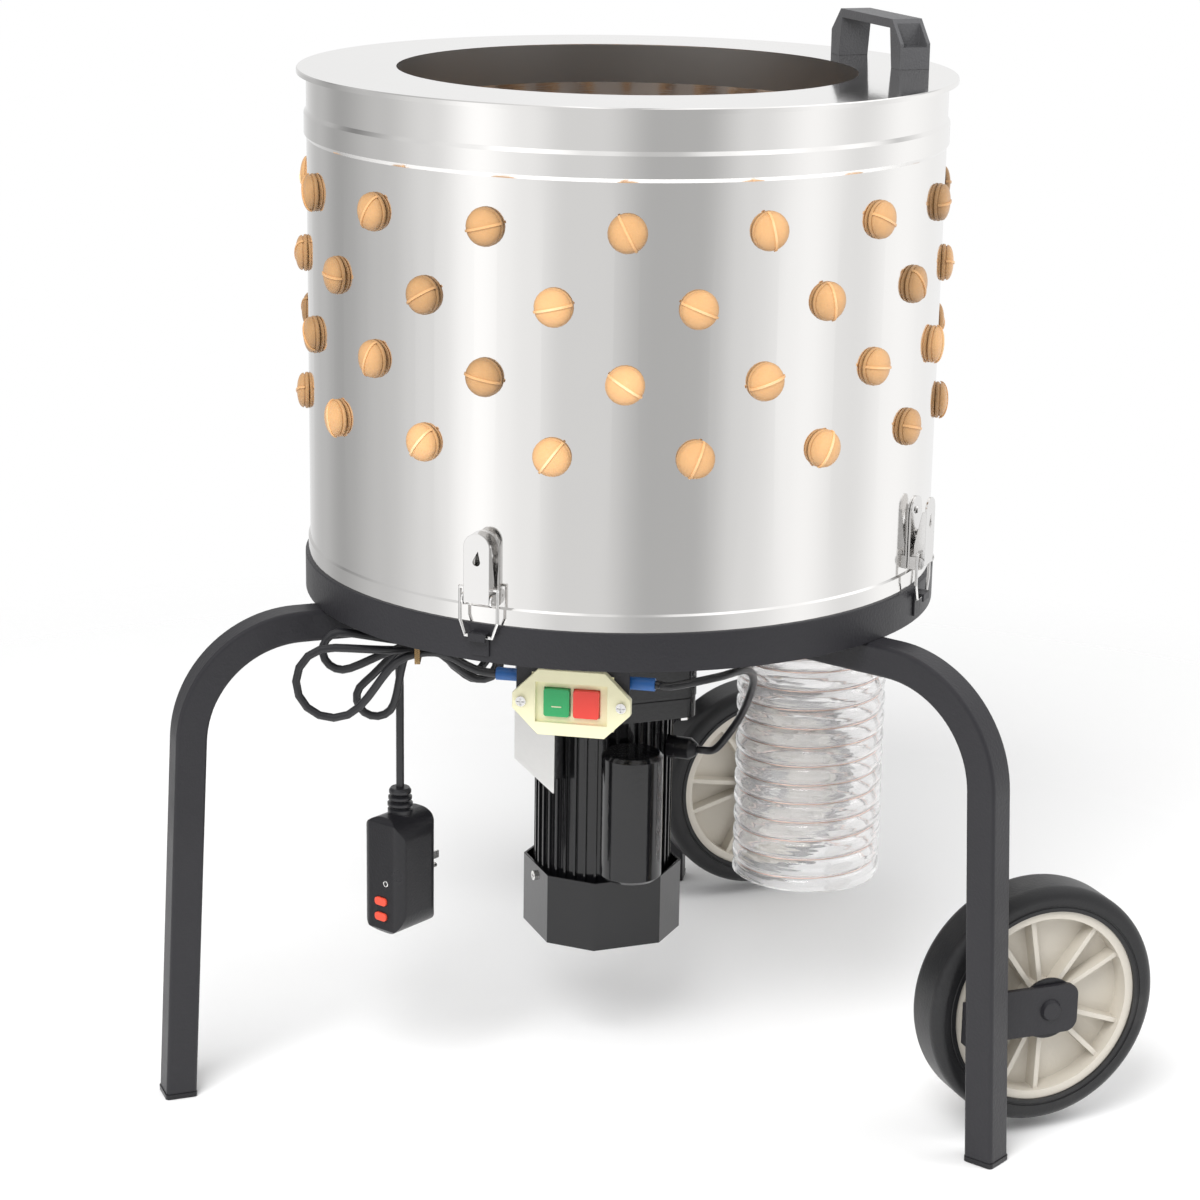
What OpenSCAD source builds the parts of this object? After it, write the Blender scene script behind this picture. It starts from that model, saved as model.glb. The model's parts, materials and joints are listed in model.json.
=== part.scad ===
// Drum poultry plucker: a rubber-fingered drum latched on a three-legged stand with two wheels.
// Millimetres, +Z up, floor at z = 0. The single leg points to -X, the wheels and handle to +X.

/* [Drum] */
// Outside diameter of the drum wall
drum_d = 500; // [480:1:520]
// Height of the drum wall
drum_h = 384; // [370:1:420]
// Thickness of the drum sheet
drum_wall = 1.5; // [1:0.1:2]
// Height of the hem at the foot of the drum
hem_h = 14; // [10:1:16]
// How far the hem stands out from the wall
hem_proud = 1.5; // [0.8:0.1:2]
// Drop from the drum's top edge to the pressed bead
bead_drop = 33; // [26:1:36]
// Height of the pressed bead's flat
bead_h = 16; // [10:1:18]
// How far the bead stands out
bead_proud = 2; // [1:0.1:2.5]
// How far the top plate reaches past the drum wall
rim_overhang = 7.5; // [5:0.5:10]
// Diameter of the mouth in the top plate
mouth_d = 360; // [330:1:370]
// Depth of the collar that hangs from the mouth
collar_h = 30; // [20:1:36]
// Thickness of the top plate
top_t = 1.5; // [1:0.1:2]

/* [Fingers] */
// Rows of fingers in the drum wall
finger_rows = 4; // [2:1:4]
// Fingers in each row
row_count = 15; // [10:1:16]
// Drop from the drum's top edge to the first row
first_row_drop = 88; // [82:1:94]
// Distance between rows
row_pitch = 55; // [50:1:58]
// Length of a wall finger inside the drum
wall_finger_l = 95; // [70:1:105]
// Length of a plate finger above the plate
plate_finger_l = 85; // [60:1:90]
// Diameter of a finger's neck in its hole
finger_neck_d = 18; // [14:0.5:20]
// Diameter of a finger's head
finger_head_d = 29; // [26:0.5:32]
// Height of a finger's head
finger_head_h = 9.5; // [8:0.5:11]
// Ribs along a finger
finger_ribs = 6; // [4:1:8]

/* [Stand] */
// Height of the ring's underside above the floor
stand_h = 398; // [380:1:420]
// Height of the ring's band
ring_h = 29; // [26:1:34]
// How far the ring's band stands out past the drum wall
ring_proud = 4; // [3.5:0.5:5]
// Thickness of the ring's steel
ring_t = 3; // [2:0.5:4]
// Width of the ring's ledge
ledge_w = 28; // [26:1:30]
// Width of the square leg tube
tube_w = 25; // [22:1:28]
// Wall of the leg tube
tube_t = 2; // [1.5:0.1:2.5]
// Outer corner radius of the leg tube
tube_r = 3; // [2.6:0.1:4]
// Radius of the leg's bend along its middle
bend_r = 90; // [80:1:100]
// Outward lean of the leg below the bend
splay = 2.8; // [1:0.1:4]
// Distance from the drum's axis to the middle of a foot
foot_r = 375; // [365:1:395]
// Distance from the drum's axis to the leg's inner end
leg_in_r = 192; // [185:1:200]
// Width of a foot cap
cap_w = 26; // [25.5:0.5:30]
// Thickness of a foot cap under the tube
cap_t = 4; // [3:0.5:6]

/* [Wheels] */
// Diameter of the tyre
tyre_d = 195; // [180:1:200]
// Width of the tyre
tyre_w = 43; // [38:1:46]
// Diameter of the tyre's seat on the hub
tyre_seat_d = 158; // [150:1:162]
// Distance from the drum's axis to the axle, along X
wheel_x = 250; // [245:1:258]
// Height of the axle above the floor
axle_z = 108; // [104:1:114]
// Diameter of the axle
axle_d = 12; // [10:0.5:14]
// Pairs of ribs round the hub
hub_spokes = 5; // [4:1:7]
// Degrees between the two ribs of a pair
rib_spread = 25; // [18:1:30]
// Length of the axle bracket
bracket_l = 97; // [92:1:100]
// Height of the axle bracket
bracket_h = 40; // [34:1:42]
// Thickness of the axle bracket
bracket_t = 4; // [3:0.5:5]

/* [Pan and drive] */
// Thickness of the base pan's sheet
pan_t = 1.5; // [1:0.1:2]
// Thickness of the motor plate
spider_t = 6; // [5:0.5:8]
// Width of the motor plate's arms
arm_w = 40; // [34:1:44]
// Diameter of the drive shaft
shaft_d = 25; // [20:1:28]
// Diameter of the feather plate
plate_d = 450; // [430:1:460]
// Thickness of the feather plate
plate_t = 3; // [2:0.5:4]
// Height of the feather plate above the ring
plate_lift = 19; // [17:1:22]
// Width of the gearbox
gear_w = 120; // [112:1:126]
// Height of the gearbox
gear_h = 105; // [95:1:110]
// Diameter of the motor over its fins
motor_d = 114; // [106:1:114]
// Height of the motor body
motor_h = 165; // [150:1:170]
// Width of the fan cowl across its flats
cowl_w = 118; // [118:1:122]
// Height of the fan cowl
cowl_h = 59; // [55:1:65]
// Shift of the motor from the drum's axis, along X
motor_dx = -9; // [-12:1:-6]
// Shift of the motor from the drum's axis, along Y
motor_dy = 4; // [0:1:6]
// Diameter of the capacitor cover
cap_cover_d = 50; // [44:1:52]
// Height of the capacitor cover
cap_cover_h = 106; // [90:1:110]

/* [Feather hose] */
// Bore of the hose
hose_bore = 110; // [100:1:112]
// Length of the hose
hose_l = 248; // [224:1:256]
// Distance between ribs of the hose
rib_pitch = 16; // [12:1:18]
// How far a rib stands out from the hose wall
rib_proud = 3; // [2:0.5:4]
// Wall of the hose
hose_wall = 2; // [1.5:0.1:2.5]
// Distance from the drum's axis to the hose's axis
hose_r = 160; // [156:1:163]

/* [Handle] */
// Length of the handle at its feet
handle_l = 127; // [120:1:135]
// Length of the handle's grip along its top
grip_l = 94; // [88:1:100]
// Width of the handle
handle_w = 26; // [22:1:28]
// Height of the handle
handle_h = 38; // [35:1:42]
// Thickness of the grip
grip_t = 7; // [5:0.5:9]
// Length of each foot of the handle
handle_foot = 15; // [14:1:17]

/* [Latches] */
// Width of a latch lever
lever_w = 21; // [18:0.5:22]
// Length of a latch lever above its pivot
lever_l = 51; // [44:1:54]
// Height of the lever's pivot above the hem
pivot_lift = 6; // [5.5:0.5:7]
// Stand-off of the lever's pivot from the drum wall
pivot_out = 8.5; // [8:0.1:9]
// Distance from the lever's pivot to the bail's pivot
bail_rise = 8.5; // [8:0.1:8.8]
// Diameter of the bail's wire
wire_d = 2.5; // [2:0.1:2.6]
// Drop from the ring's top to the bail's crossbar in its catch
seat_drop = 8.5; // [8:0.5:10]

/* [Switch] */
// Length of the switch plate
switch_l = 92; // [88:1:98]
// Height of the switch plate
switch_h = 52; // [49:1:56]
// Thickness of the switch plate
switch_t = 6; // [5.5:0.5:8]
// Distance from the drum's axis to the switch plate's face
switch_r = 190; // [184:1:196]
// Drop from the ring's underside to the switch's middle
switch_drop = 47; // [43:1:50]
// Width of a push button
button_w = 20; // [18:0.5:21]
// Height of a push button
button_h = 22; // [20:0.5:24]

/* [Plug] */
// Width of the plug body
plug_w = 41; // [39:1:44]
// Depth of the plug body, front to back
plug_d = 45; // [41:1:48]
// Height of the plug body
plug_h = 98; // [90:1:104]
// Length of the strain relief
relief_l = 21; // [18:1:26]

/* [Hidden] */
$fn = 64;

// Running clearance of a shaft in its bore, clearance of a loose fit, and gap between parts that move
run_fit = 0.05;
loose_fit = 0.2;
move_gap = 0.3;
// Length by which a cutting shape runs past what it cuts
past = 1;

steel = [0.80, 0.80, 0.82];
chrome = [0.86, 0.86, 0.88];
black = [0.09, 0.09, 0.10];
coat = [0.16, 0.16, 0.17];
amber = [0.78, 0.55, 0.30];
cream = [0.93, 0.91, 0.72];
beige = [0.82, 0.79, 0.73];
blue = [0.10, 0.35, 0.72];
clear = [0.90, 0.88, 0.88, 0.45];

// Heights, worked up from the ring
drum_r = drum_d / 2;
ring_r = drum_r + ring_proud;
ring_top = stand_h + ring_h;
drum_z = ring_top;
drum_top = drum_z + drum_h;
rim_z = drum_top + top_t;
rim_r = drum_r + rim_overhang;
ledge_in = ring_r - ledge_w;
pan_floor = stand_h + spider_t;
pan_r = ledge_in - 1;
flange_r = drum_r - drum_wall - 2;
gear_z = stand_h - gear_h;
motor_z = gear_z - motor_h;
cowl_lap = 30;
cowl_z = motor_z + cowl_lap - cowl_h;
plate_z = ring_top + plate_lift;

// The box of the stand is centred on the origin: foot cap on one side, tyre on the other
axis_x = (foot_r + cap_w / 2 - wheel_x - tyre_d / 2) / 2;

// Directions of the legs, latches, switch and hose about the drum's axis
front_az = 180;
wheel_az = 60;
leg_azs = [front_az, wheel_az, -wheel_az];
latch_azs = [-45, 45, 135, -135];
switch_az = -122;
hose_az = -22;
finger_az = -111;

// Leg path
leg_mid_z = stand_h - tube_w / 2;
bend_z = leg_mid_z - bend_r;
bend_x = foot_r - bend_r * cos(splay) - (bend_z + bend_r * sin(splay)) * tan(splay);
arm_bolt_r = ledge_in + 6;
bolt_d = 6;
function leg_r(z) = foot_r - z * tan(splay);

// Wheel stack along Y, from the bracket's outer face inwards
corner_reach = (tube_w / 2 - tube_r) * (sin(wheel_az) + cos(wheel_az)) + tube_r;
bracket_y = leg_r(axle_z + bracket_h / 2) * sin(wheel_az) - corner_reach - move_gap;
washer_t = 2;
washer_r = 25;
hub_w = tyre_w + 2;
hub_out = bracket_y - bracket_t - washer_t - move_gap;
hub_in = hub_out - hub_w;
tyre_mid = hub_out - hub_w / 2;
nut_h = 8;
nut_y = hub_in - move_gap - washer_t;

// Latch heights
pivot_z = drum_z + hem_h + pivot_lift;
bail_z = pivot_z + bail_rise;
seat_z = ring_top - seat_drop;
ear_t = 1.5;
ear_r = 5;
latch_plate_w = lever_w + 5;
pin_r = 1.5;
sheet_t = 1.5;
lever_face = pivot_out + 3;
bail_half = lever_w / 2 + ear_t + 2.2 + wire_d / 2;
rivet_r = 2;
rivet_zs = [pivot_z + 22, pivot_z + 40];

// Switch
switch_z = stand_h - switch_drop;
box_l = 64;
box_h = 44;
box_d = 34;
window_l = 56;
window_h = 32;
window_depth = 4;
button_gap = 3;
button_y = (button_w + button_gap) / 2;
screw_y = switch_l / 2 - 7;
cord_d = 6.5;
sleeve_d = 10;
sleeve_l = 30;
sleeve_x = switch_r - switch_t - 11;
sleeve_z = switch_z + 15;

// Cord bundle: its tie, and the turn of the upright plane that its loops lie in
tie_at = [-195, -76, stand_h - 18];
tie_az = -21.5;
// Each loop, left and right in turn: its direction in that plane, its reach and the radius of its round end
loops = [[202, 100, 28], [-12, 64, 15], [186, 76, 15], [-18, 62, 15], [234, 76, 15], [-22, 54, 15]];
// Each loop lies one layer behind the last, and the first takes the lead-in's layer too
layer = cord_d + 1.5;
first_slot = -14;
second_slot = -2;
// Share of a loop's reach that its strands keep straight at each end, and share of its rings on each strand
tie_reach = 0.25;
strand = 0.3;
tail_drop = 50;
tail_back = 5;
tail_side = -18;
loop_rings = 24;
cord_sides = 6;

// Motor lead: from the right-hand sleeve round to the gland, from the drum's axis
gland_az = -40;
gland_z = gear_z - 31;

// Plug under the cord's tail
plug_az = -150;
relief_top = stand_h - 147;

function unit(v) = v / norm(v);
function turn(p, a) = [p[0] * cos(a) - p[1] * sin(a), p[0] * sin(a) + p[1] * cos(a), p[2]];
function bezier(a, b, c, d, t) =
    pow(1 - t, 3) * a + 3 * t * pow(1 - t, 2) * b + 3 * t * t * (1 - t) * c + pow(t, 3) * d;

module at_drum() { translate([axis_x, 0, 0]) children(); }
module at_az(a, r, z) { at_drum() rotate([0, 0, a]) translate([r, 0, z]) children(); }
module at_motor(z) { at_drum() translate([motor_dx, motor_dy, z]) children(); }
module at_hose(z) { at_az(hose_az, hose_r, z) children(); }

// Square with rounded corners, made of squares and circles
module round_square(l, w, r) {
    square([l - 2 * r, w], center = true);
    square([l, w - 2 * r], center = true);
    for (x = [-1, 1], y = [-1, 1]) translate([x * (l / 2 - r), y * (w / 2 - r)]) circle(r);
}

module tube_2d() {
    difference() {
        round_square(tube_w, tube_w, tube_r);
        round_square(tube_w - 2 * tube_t, tube_w - 2 * tube_t, tube_r - tube_t);
    }
}

// One rubber finger, drawn along Z: seat at z = 0, head above, ribbed finger below the sheet
module finger(sheet, length) {
    neck = finger_neck_d / 2;
    head = finger_head_d / 2;
    lip_h = finger_head_h * 0.32;
    groove_h = finger_head_h * 0.1;
    dome_h = finger_head_h - lip_h - groove_h;
    collar = neck + 3;
    collar_t = 4;
    root = neck + 1.5;
    tip = neck - 2;
    groove = 1.2;
    seat = -sheet - loose_fit;
    step = (length - collar_t) / finger_ribs;
    rotate_extrude() polygon(concat(
        [for (a = [90:-30:0]) [(head - 0.6) * cos(a), lip_h + groove_h + dome_h * sin(a)]],
        [[head - 1.8, lip_h + groove_h], [head - 1.8, lip_h], [head, lip_h], [head, 0],
            [neck, 0], [neck, seat], [collar, seat], [collar, seat - collar_t]],
        [for (i = [0:finger_ribs - 1])
            let (z = seat - collar_t - i * step, r = root + (tip - root) * i / finger_ribs)
            each [[r - groove, z - step * 0.15], [r, z - step * 0.5]]],
        [[tip - 2, seat - length], [0, seat - length]]));
}

function row_z(i) = drum_top - first_row_drop - i * row_pitch;
function finger_turn(i, k) = finger_az + (k + (i % 2) / 2) * 360 / row_count;

module drum_shell() {
    r = drum_r;
    ramp = 3;
    b0 = drum_top - bead_drop - bead_h;
    b1 = drum_top - bead_drop;
    color(steel) difference() {
        at_drum() rotate_extrude() polygon([
            [r + hem_proud, drum_z], [r + hem_proud, drum_z + hem_h - hem_proud], [r, drum_z + hem_h],
            [r, b0 - ramp], [r + bead_proud, b0], [r + bead_proud, b1], [r, b1 + ramp], [r, drum_top],
            [r - drum_wall, drum_top], [r - drum_wall, b1 + ramp], [r + bead_proud - drum_wall, b1],
            [r + bead_proud - drum_wall, b0], [r - drum_wall, b0 - ramp], [r - drum_wall, drum_z]]);
        for (i = [0:finger_rows - 1], k = [0:row_count - 1])
            at_az(finger_turn(i, k), r - drum_wall - past - bead_proud, row_z(i)) rotate([0, 90, 0])
                cylinder(r = finger_neck_d / 2 + run_fit, h = drum_wall + 2 * past + 2 * bead_proud);
        for (a = latch_azs, z = rivet_zs) at_az(a, r - drum_wall - past, z) rotate([0, 90, 0])
            cylinder(r = rivet_r, h = drum_wall + 2 * past);
    }
}

module top_plate() {
    lip = 4;
    mouth = mouth_d / 2;
    color(steel) difference() {
        at_drum() rotate_extrude() polygon([
            [mouth, rim_z], [rim_r - 0.8, rim_z], [rim_r, rim_z - 0.8], [rim_r, rim_z - lip],
            [rim_r - top_t, rim_z - lip], [rim_r - top_t, drum_top], [mouth + top_t, drum_top],
            [mouth + top_t, drum_top - collar_h], [mouth, drum_top - collar_h]]);
        handle_spots() translate([0, 0, drum_top - past]) cylinder(r = 2.5, h = top_t + 2 * past);
    }
}

half_rows = ceil(finger_rows / 2);
module wall_fingers(from, to) {
    color(amber) for (i = [from:to], k = [0:row_count - 1])
        at_az(finger_turn(i, k), drum_r, row_z(i)) rotate([0, 90, 0])
            finger(drum_wall + loose_fit, wall_finger_l);
}

handle_r = (mouth_d / 2 + drum_r) / 2 + 2;
module handle_spots() {
    for (s = [-1, 1]) at_az(0, handle_r, 0) translate([0, s * (handle_l - handle_foot) / 2, 0]) children();
}

module carry_handle() {
    foot_h = 20;
    wall = 3;
    pocket_z = 17;
    back = grip_l / 2 + wall;
    deep = handle_l / 2 - back + past;
    color(coat) at_az(0, handle_r, rim_z) difference() {
        rotate([90, 0, 90]) linear_extrude(handle_w, center = true) polygon([
            [-handle_l / 2, 0], [-handle_l / 2, foot_h], [-grip_l / 2, handle_h], [grip_l / 2, handle_h],
            [handle_l / 2, foot_h], [handle_l / 2, 0], [handle_l / 2 - handle_foot, 0],
            [grip_l / 2 - wall, handle_h - grip_t], [-grip_l / 2 + wall, handle_h - grip_t],
            [-handle_l / 2 + handle_foot, 0]]);
        for (s = [-1, 1]) translate([0, s * (back + deep / 2), (handle_h + pocket_z) / 2])
            cube([handle_w - 2 * wall, deep, handle_h - pocket_z], center = true);
        for (s = [-1, 1]) translate([0, s * (handle_l - handle_foot) / 2, -past])
            cylinder(r = 2.5, h = 9 + past);
    }
}

// Pan-head screw with a cross slot: head on z = 0, shank below
module cross_screw(r, length) {
    difference() {
        union() {
            cylinder(r = 2 * r, h = 1.2 * r);
            translate([0, 0, -length]) cylinder(r = r, h = length);
        }
        for (a = [0, 90]) rotate([0, 0, a]) translate([-1.5 * r, -0.25 * r, 0.6 * r])
            cube([3 * r, 0.5 * r, r]);
    }
}

cowl_screw_z = motor_z + cowl_lap - 10;
cowl_screw_azs = [0, 180];
module cross_screws() {
    color(chrome) {
        handle_spots() translate([0, 0, drum_top]) rotate([180, 0, 0]) cross_screw(2.5, top_t + 9);
        for (s = [-1, 1]) at_az(switch_az, switch_r, switch_z) translate([0, s * screw_y, 0])
            rotate([0, 90, 0])
            cross_screw(2, switch_t + sheet_t);
        for (a = cowl_screw_azs) at_motor(cowl_screw_z) rotate([0, 0, a]) translate([cowl_w / 2, 0, 0])
            rotate([0, 90, 0]) cross_screw(2, 8);
    }
}

module latch_bases() {
    top = pivot_z + lever_l - latch_plate_w / 2;
    color(chrome) for (a = latch_azs) at_az(a, drum_r, 0) difference() {
        union() {
            rotate([90, 0, 90]) linear_extrude(sheet_t) {
                translate([-latch_plate_w / 2, pivot_z - ear_r])
                    square([latch_plate_w, top - pivot_z + ear_r]);
                translate([0, top]) circle(latch_plate_w / 2);
            }
            for (s = [-1, 1]) translate([0, s * (lever_w / 2 + 0.5 + ear_t / 2), 0]) rotate([90, 0, 0])
                linear_extrude(ear_t, center = true) {
                    translate([0, pivot_z - ear_r]) square([pivot_out, 2 * ear_r]);
                    translate([pivot_out, pivot_z]) circle(ear_r);
                }
        }
        translate([pivot_out, 0, pivot_z]) rotate([90, 0, 0])
            cylinder(r = pin_r, h = 2 * latch_plate_w, center = true);
        for (z = rivet_zs) translate([-past, 0, z]) rotate([0, 90, 0])
            cylinder(r = rivet_r, h = sheet_t + 2 * past);
    }
}

module latch_rivets() {
    pin_l = lever_w + 2 * (0.5 + ear_t) + 0.8;
    color(chrome) for (a = latch_azs) at_az(a, drum_r, 0) {
        translate([pivot_out, 0, pivot_z]) rotate([90, 0, 0]) cylinder(r = pin_r, h = pin_l, center = true);
        for (z = rivet_zs) translate([sheet_t, 0, z]) rotate([0, 90, 0]) {
            cylinder(r1 = 3.5, r2 = 2.5, h = 1.5);
            translate([0, 0, -sheet_t - drum_wall - 0.1])
                cylinder(r = rivet_r, h = sheet_t + drum_wall + 0.1);
            translate([0, 0, -sheet_t - drum_wall - 1.1]) cylinder(r = 3, h = 1);
        }
    }
}

// Draw-latch lever: a channel, pivoted at its foot, with the bail's holes above the pivot
module latch_lever(n) {
    flange_t = 1.5;
    flange_back = 2.5;
    flange_top = lever_l * 0.8;
    neck_r = lever_face - pivot_out + 1.5;
    top = pivot_z + lever_l - lever_w / 2;
    color(chrome) at_az(latch_azs[n - 1], drum_r, 0) difference() {
        union() {
            translate([lever_face, 0, 0]) rotate([90, 0, 90]) linear_extrude(sheet_t) {
                translate([-lever_w / 2, pivot_z - 2]) square([lever_w, top - pivot_z + 2]);
                translate([0, top]) circle(lever_w / 2);
            }
            for (s = [-1, 1]) translate([0, s * (lever_w - flange_t) / 2, 0]) rotate([90, 0, 0])
                linear_extrude(flange_t, center = true) {
                    translate([pivot_out, pivot_z]) circle(neck_r);
                    polygon([[pivot_out - neck_r, pivot_z], [lever_face + sheet_t, pivot_z],
                        [lever_face + sheet_t, pivot_z + flange_top], [lever_face - 2, pivot_z + flange_top],
                        [flange_back + 1.5, pivot_z + 14]]);
                }
        }
        translate([pivot_out, 0, pivot_z]) rotate([90, 0, 0])
            cylinder(r = pin_r + run_fit, h = 2 * lever_w, center = true);
        translate([pivot_out, 0, bail_z]) rotate([90, 0, 0])
            cylinder(r = wire_d / 2 + run_fit, h = 2 * lever_w, center = true);
        translate([lever_face - past, 0, pivot_z + lever_l * 0.58]) rotate([90, 0, 90])
            linear_extrude(sheet_t + 2 * past) {
                circle(3);
                polygon([[-2.8, 1], [2.8, 1], [1.2, 8.5]]);
            }
    }
}

// Straight piece of bail wire between two points of the latch's own frame, with a knuckle at its start
module wire(p, q) {
    v = q - p;
    translate(p) {
        rotate([0, acos(v[2] / norm(v)), atan2(v[1], v[0])]) cylinder(d = wire_d, h = norm(v));
        sphere(d = wire_d + 0.2);
    }
}

module latch_bail(n) {
    x = pivot_out;
    waist_z = seat_z + 12;
    bar_half = lever_w / 2 + 0.5;
    color(chrome) at_az(latch_azs[n - 1], drum_r, 0) for (s = [-1, 1]) {
        translate([x, s * (lever_w / 2 - 2), bail_z]) rotate([-90 * s, 0, 0])
            cylinder(d = wire_d, h = bail_half - lever_w / 2 + 2);
        wire([x, s * bail_half, bail_z], [x, s * bail_half, waist_z]);
        wire([x, s * bail_half, waist_z], [x, s * bar_half, seat_z]);
        wire([x, s * bar_half, seat_z], [x, 0, seat_z]);
    }
}

module latch_catches() {
    stem_w = 14;
    foot = stand_h + 5;
    hook_z = seat_z + wire_d / 2 + move_gap;
    lip_x = pivot_out + wire_d / 2 + 1.3;
    color(chrome) for (a = latch_azs) at_az(a, drum_r, 0) {
        translate([ring_proud, -stem_w / 2, foot]) cube([sheet_t, stem_w, hook_z + sheet_t - foot]);
        translate([ring_proud, -stem_w / 2, hook_z]) cube([lip_x + sheet_t - ring_proud, stem_w, sheet_t]);
        translate([lip_x, -stem_w / 2, hook_z - 4.5]) cube([sheet_t, stem_w, 4.5 + sheet_t]);
    }
}

pan_bolt_r = (pan_r + flange_r) / 2 + 1;
pan_bolt_azs = [for (i = [0:5]) 30 + i * 60];
// Peg under the pan that the cord's tie hangs from
peg_r = 1.5;
peg_in = 200;
peg_z = stand_h + 2;
peg_az = -163;
module ring_hoop() {
    color(coat) {
        difference() {
            at_drum() rotate_extrude() polygon([
                [ring_r - ring_t, stand_h], [ring_r, stand_h], [ring_r, ring_top - 0.8],
                [ring_r - 0.8, ring_top], [ledge_in, ring_top],
                [ledge_in, ring_top - ring_t], [ring_r - ring_t, ring_top - ring_t]]);
            for (a = pan_bolt_azs) at_az(a, pan_bolt_r, ring_top - ring_t - past)
                cylinder(d = bolt_d, h = ring_t + 2 * past);
        }
        at_az(peg_az, peg_in, peg_z) rotate([0, 90, 0]) cylinder(r = peg_r, h = ring_r - ring_t / 2 - peg_in);
    }
}

module leg_path() {
    translate([leg_in_r, 0, leg_mid_z]) rotate([0, 90, 0]) linear_extrude(bend_x - leg_in_r) children();
    translate([bend_x, 0, bend_z]) rotate([90, 0, 0]) rotate([0, 0, splay]) rotate_extrude(angle = 90 - splay)
        translate([bend_r, 0]) children();
    translate([bend_x + bend_r * cos(splay), 0, bend_z + bend_r * sin(splay)]) rotate([0, 180 - splay, 0])
        linear_extrude(bend_z + bend_r) children();
}

module leg(a) {
    color(coat) at_az(a, 0, 0) difference() {
        leg_path() tube_2d();
        translate([foot_r, 0, cap_t - foot_r]) cube(2 * foot_r, center = true);
        translate([arm_bolt_r, 0, leg_mid_z]) cylinder(d = bolt_d, h = tube_w);
    }
}

module front_leg() { leg(front_az); }
module wheel_leg_left() { leg(wheel_az); }
module wheel_leg_right() { leg(-wheel_az); }

module leg_caps() {
    plug = tube_w - 2 * tube_t - 2 * loose_fit;
    plug_l = 18;
    end_t = 2;
    color(black) for (a = leg_azs) at_az(a, 0, 0) {
        translate([foot_r, 0, 0]) linear_extrude(cap_t) round_square(cap_w, cap_w, tube_r);
        translate([leg_r(cap_t), 0, cap_t]) rotate([0, -splay, 0]) translate([0, 0, -past])
            linear_extrude(plug_l + past) round_square(plug, plug, tube_r - tube_t);
        translate([leg_in_r - end_t, 0, leg_mid_z]) rotate([0, 90, 0]) {
            linear_extrude(end_t) round_square(tube_w, tube_w, tube_r);
            linear_extrude(end_t + plug_l) round_square(plug, plug, tube_r - tube_t);
        }
    }
}

// Both wheel sides: children are drawn for the left wheel and mirrored for the right
module each_wheel() { for (s = [0, 1]) mirror([0, s, 0]) at_drum() children(); }
module at_axle(y) { translate([wheel_x, y, axle_z]) rotate([-90, 0, 0]) children(); }

bracket_end = 24;
module wheel_brackets() {
    round = 10;
    mid = wheel_x + bracket_end - bracket_l / 2;
    leg_x = leg_r(axle_z) * cos(wheel_az);
    pad_w = 24;
    color(coat) each_wheel() difference() {
        union() {
            translate([mid, bracket_y, axle_z]) rotate([90, 0, 0]) linear_extrude(bracket_t) {
                round_square(bracket_l, bracket_h, round);
                translate([-bracket_l / 2, -bracket_h / 2]) square([bracket_l / 2, bracket_h]);
            }
            translate([leg_x - pad_w / 2, bracket_y - past, axle_z - bracket_h / 2 + 3])
                cube([pad_w, 7 + past, bracket_h - 6]);
        }
        rotate([0, 0, wheel_az]) leg_path() round_square(tube_w, tube_w, tube_r);
        at_axle(bracket_y - bracket_t - past) cylinder(d = axle_d, h = bracket_t + 2 * past);
    }
}

module stub_axles() {
    head_h = 3;
    color(steel) each_wheel() {
        at_axle(bracket_y) cylinder(d1 = axle_d * 1.5, d2 = axle_d * 1.2, h = head_h);
        at_axle(nut_y - nut_h - 3) cylinder(d = axle_d, h = bracket_y - nut_y + nut_h + 3);
    }
}

module washer() {
    difference() {
        cylinder(r = washer_r, h = washer_t);
        translate([0, 0, -past]) cylinder(d = axle_d, h = washer_t + 2 * past);
    }
}

module wheel_washers() {
    color(black) each_wheel() {
        at_axle(bracket_y - bracket_t - washer_t) washer();
        at_axle(nut_y) washer();
    }
}

// Hexagon-head bolt: head above z = 0, shank below
module hex_bolt(length) {
    cylinder(d = 1.9 * bolt_d, h = 0.65 * bolt_d, $fn = 6);
    translate([0, 0, -length]) cylinder(d = bolt_d, h = length);
}

gear_bolt = gear_w / 2 - 11;
bracket_bolt_y = 36;
bracket_bolt_x = switch_r - switch_t - 20;
module hex_fasteners() {
    color(chrome) {
        each_wheel() difference() {
            at_axle(nut_y - nut_h) cylinder(d = 1.8 * axle_d, h = nut_h, $fn = 6);
            at_axle(nut_y - nut_h - past) cylinder(d = axle_d, h = nut_h + 2 * past);
        }
        for (a = pan_bolt_azs) at_az(a, pan_bolt_r, ring_top + pan_t) hex_bolt(pan_t + ring_t + 6);
        for (a = leg_azs) at_az(a, arm_bolt_r, pan_floor) hex_bolt(spider_t + tube_t + 6);
        for (x = [-1, 1], y = [-1, 1]) at_motor(gear_z) translate([x * gear_bolt, y * gear_bolt, 0])
            rotate([180, 0, 0]) hex_bolt(gear_h + spider_t - 1);
        for (s = [-1, 1]) at_az(switch_az, bracket_bolt_x, pan_floor + pan_t)
            translate([0, s * bracket_bolt_y, 0])
            hex_bolt(pan_t + sheet_t + 5);
    }
}

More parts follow.
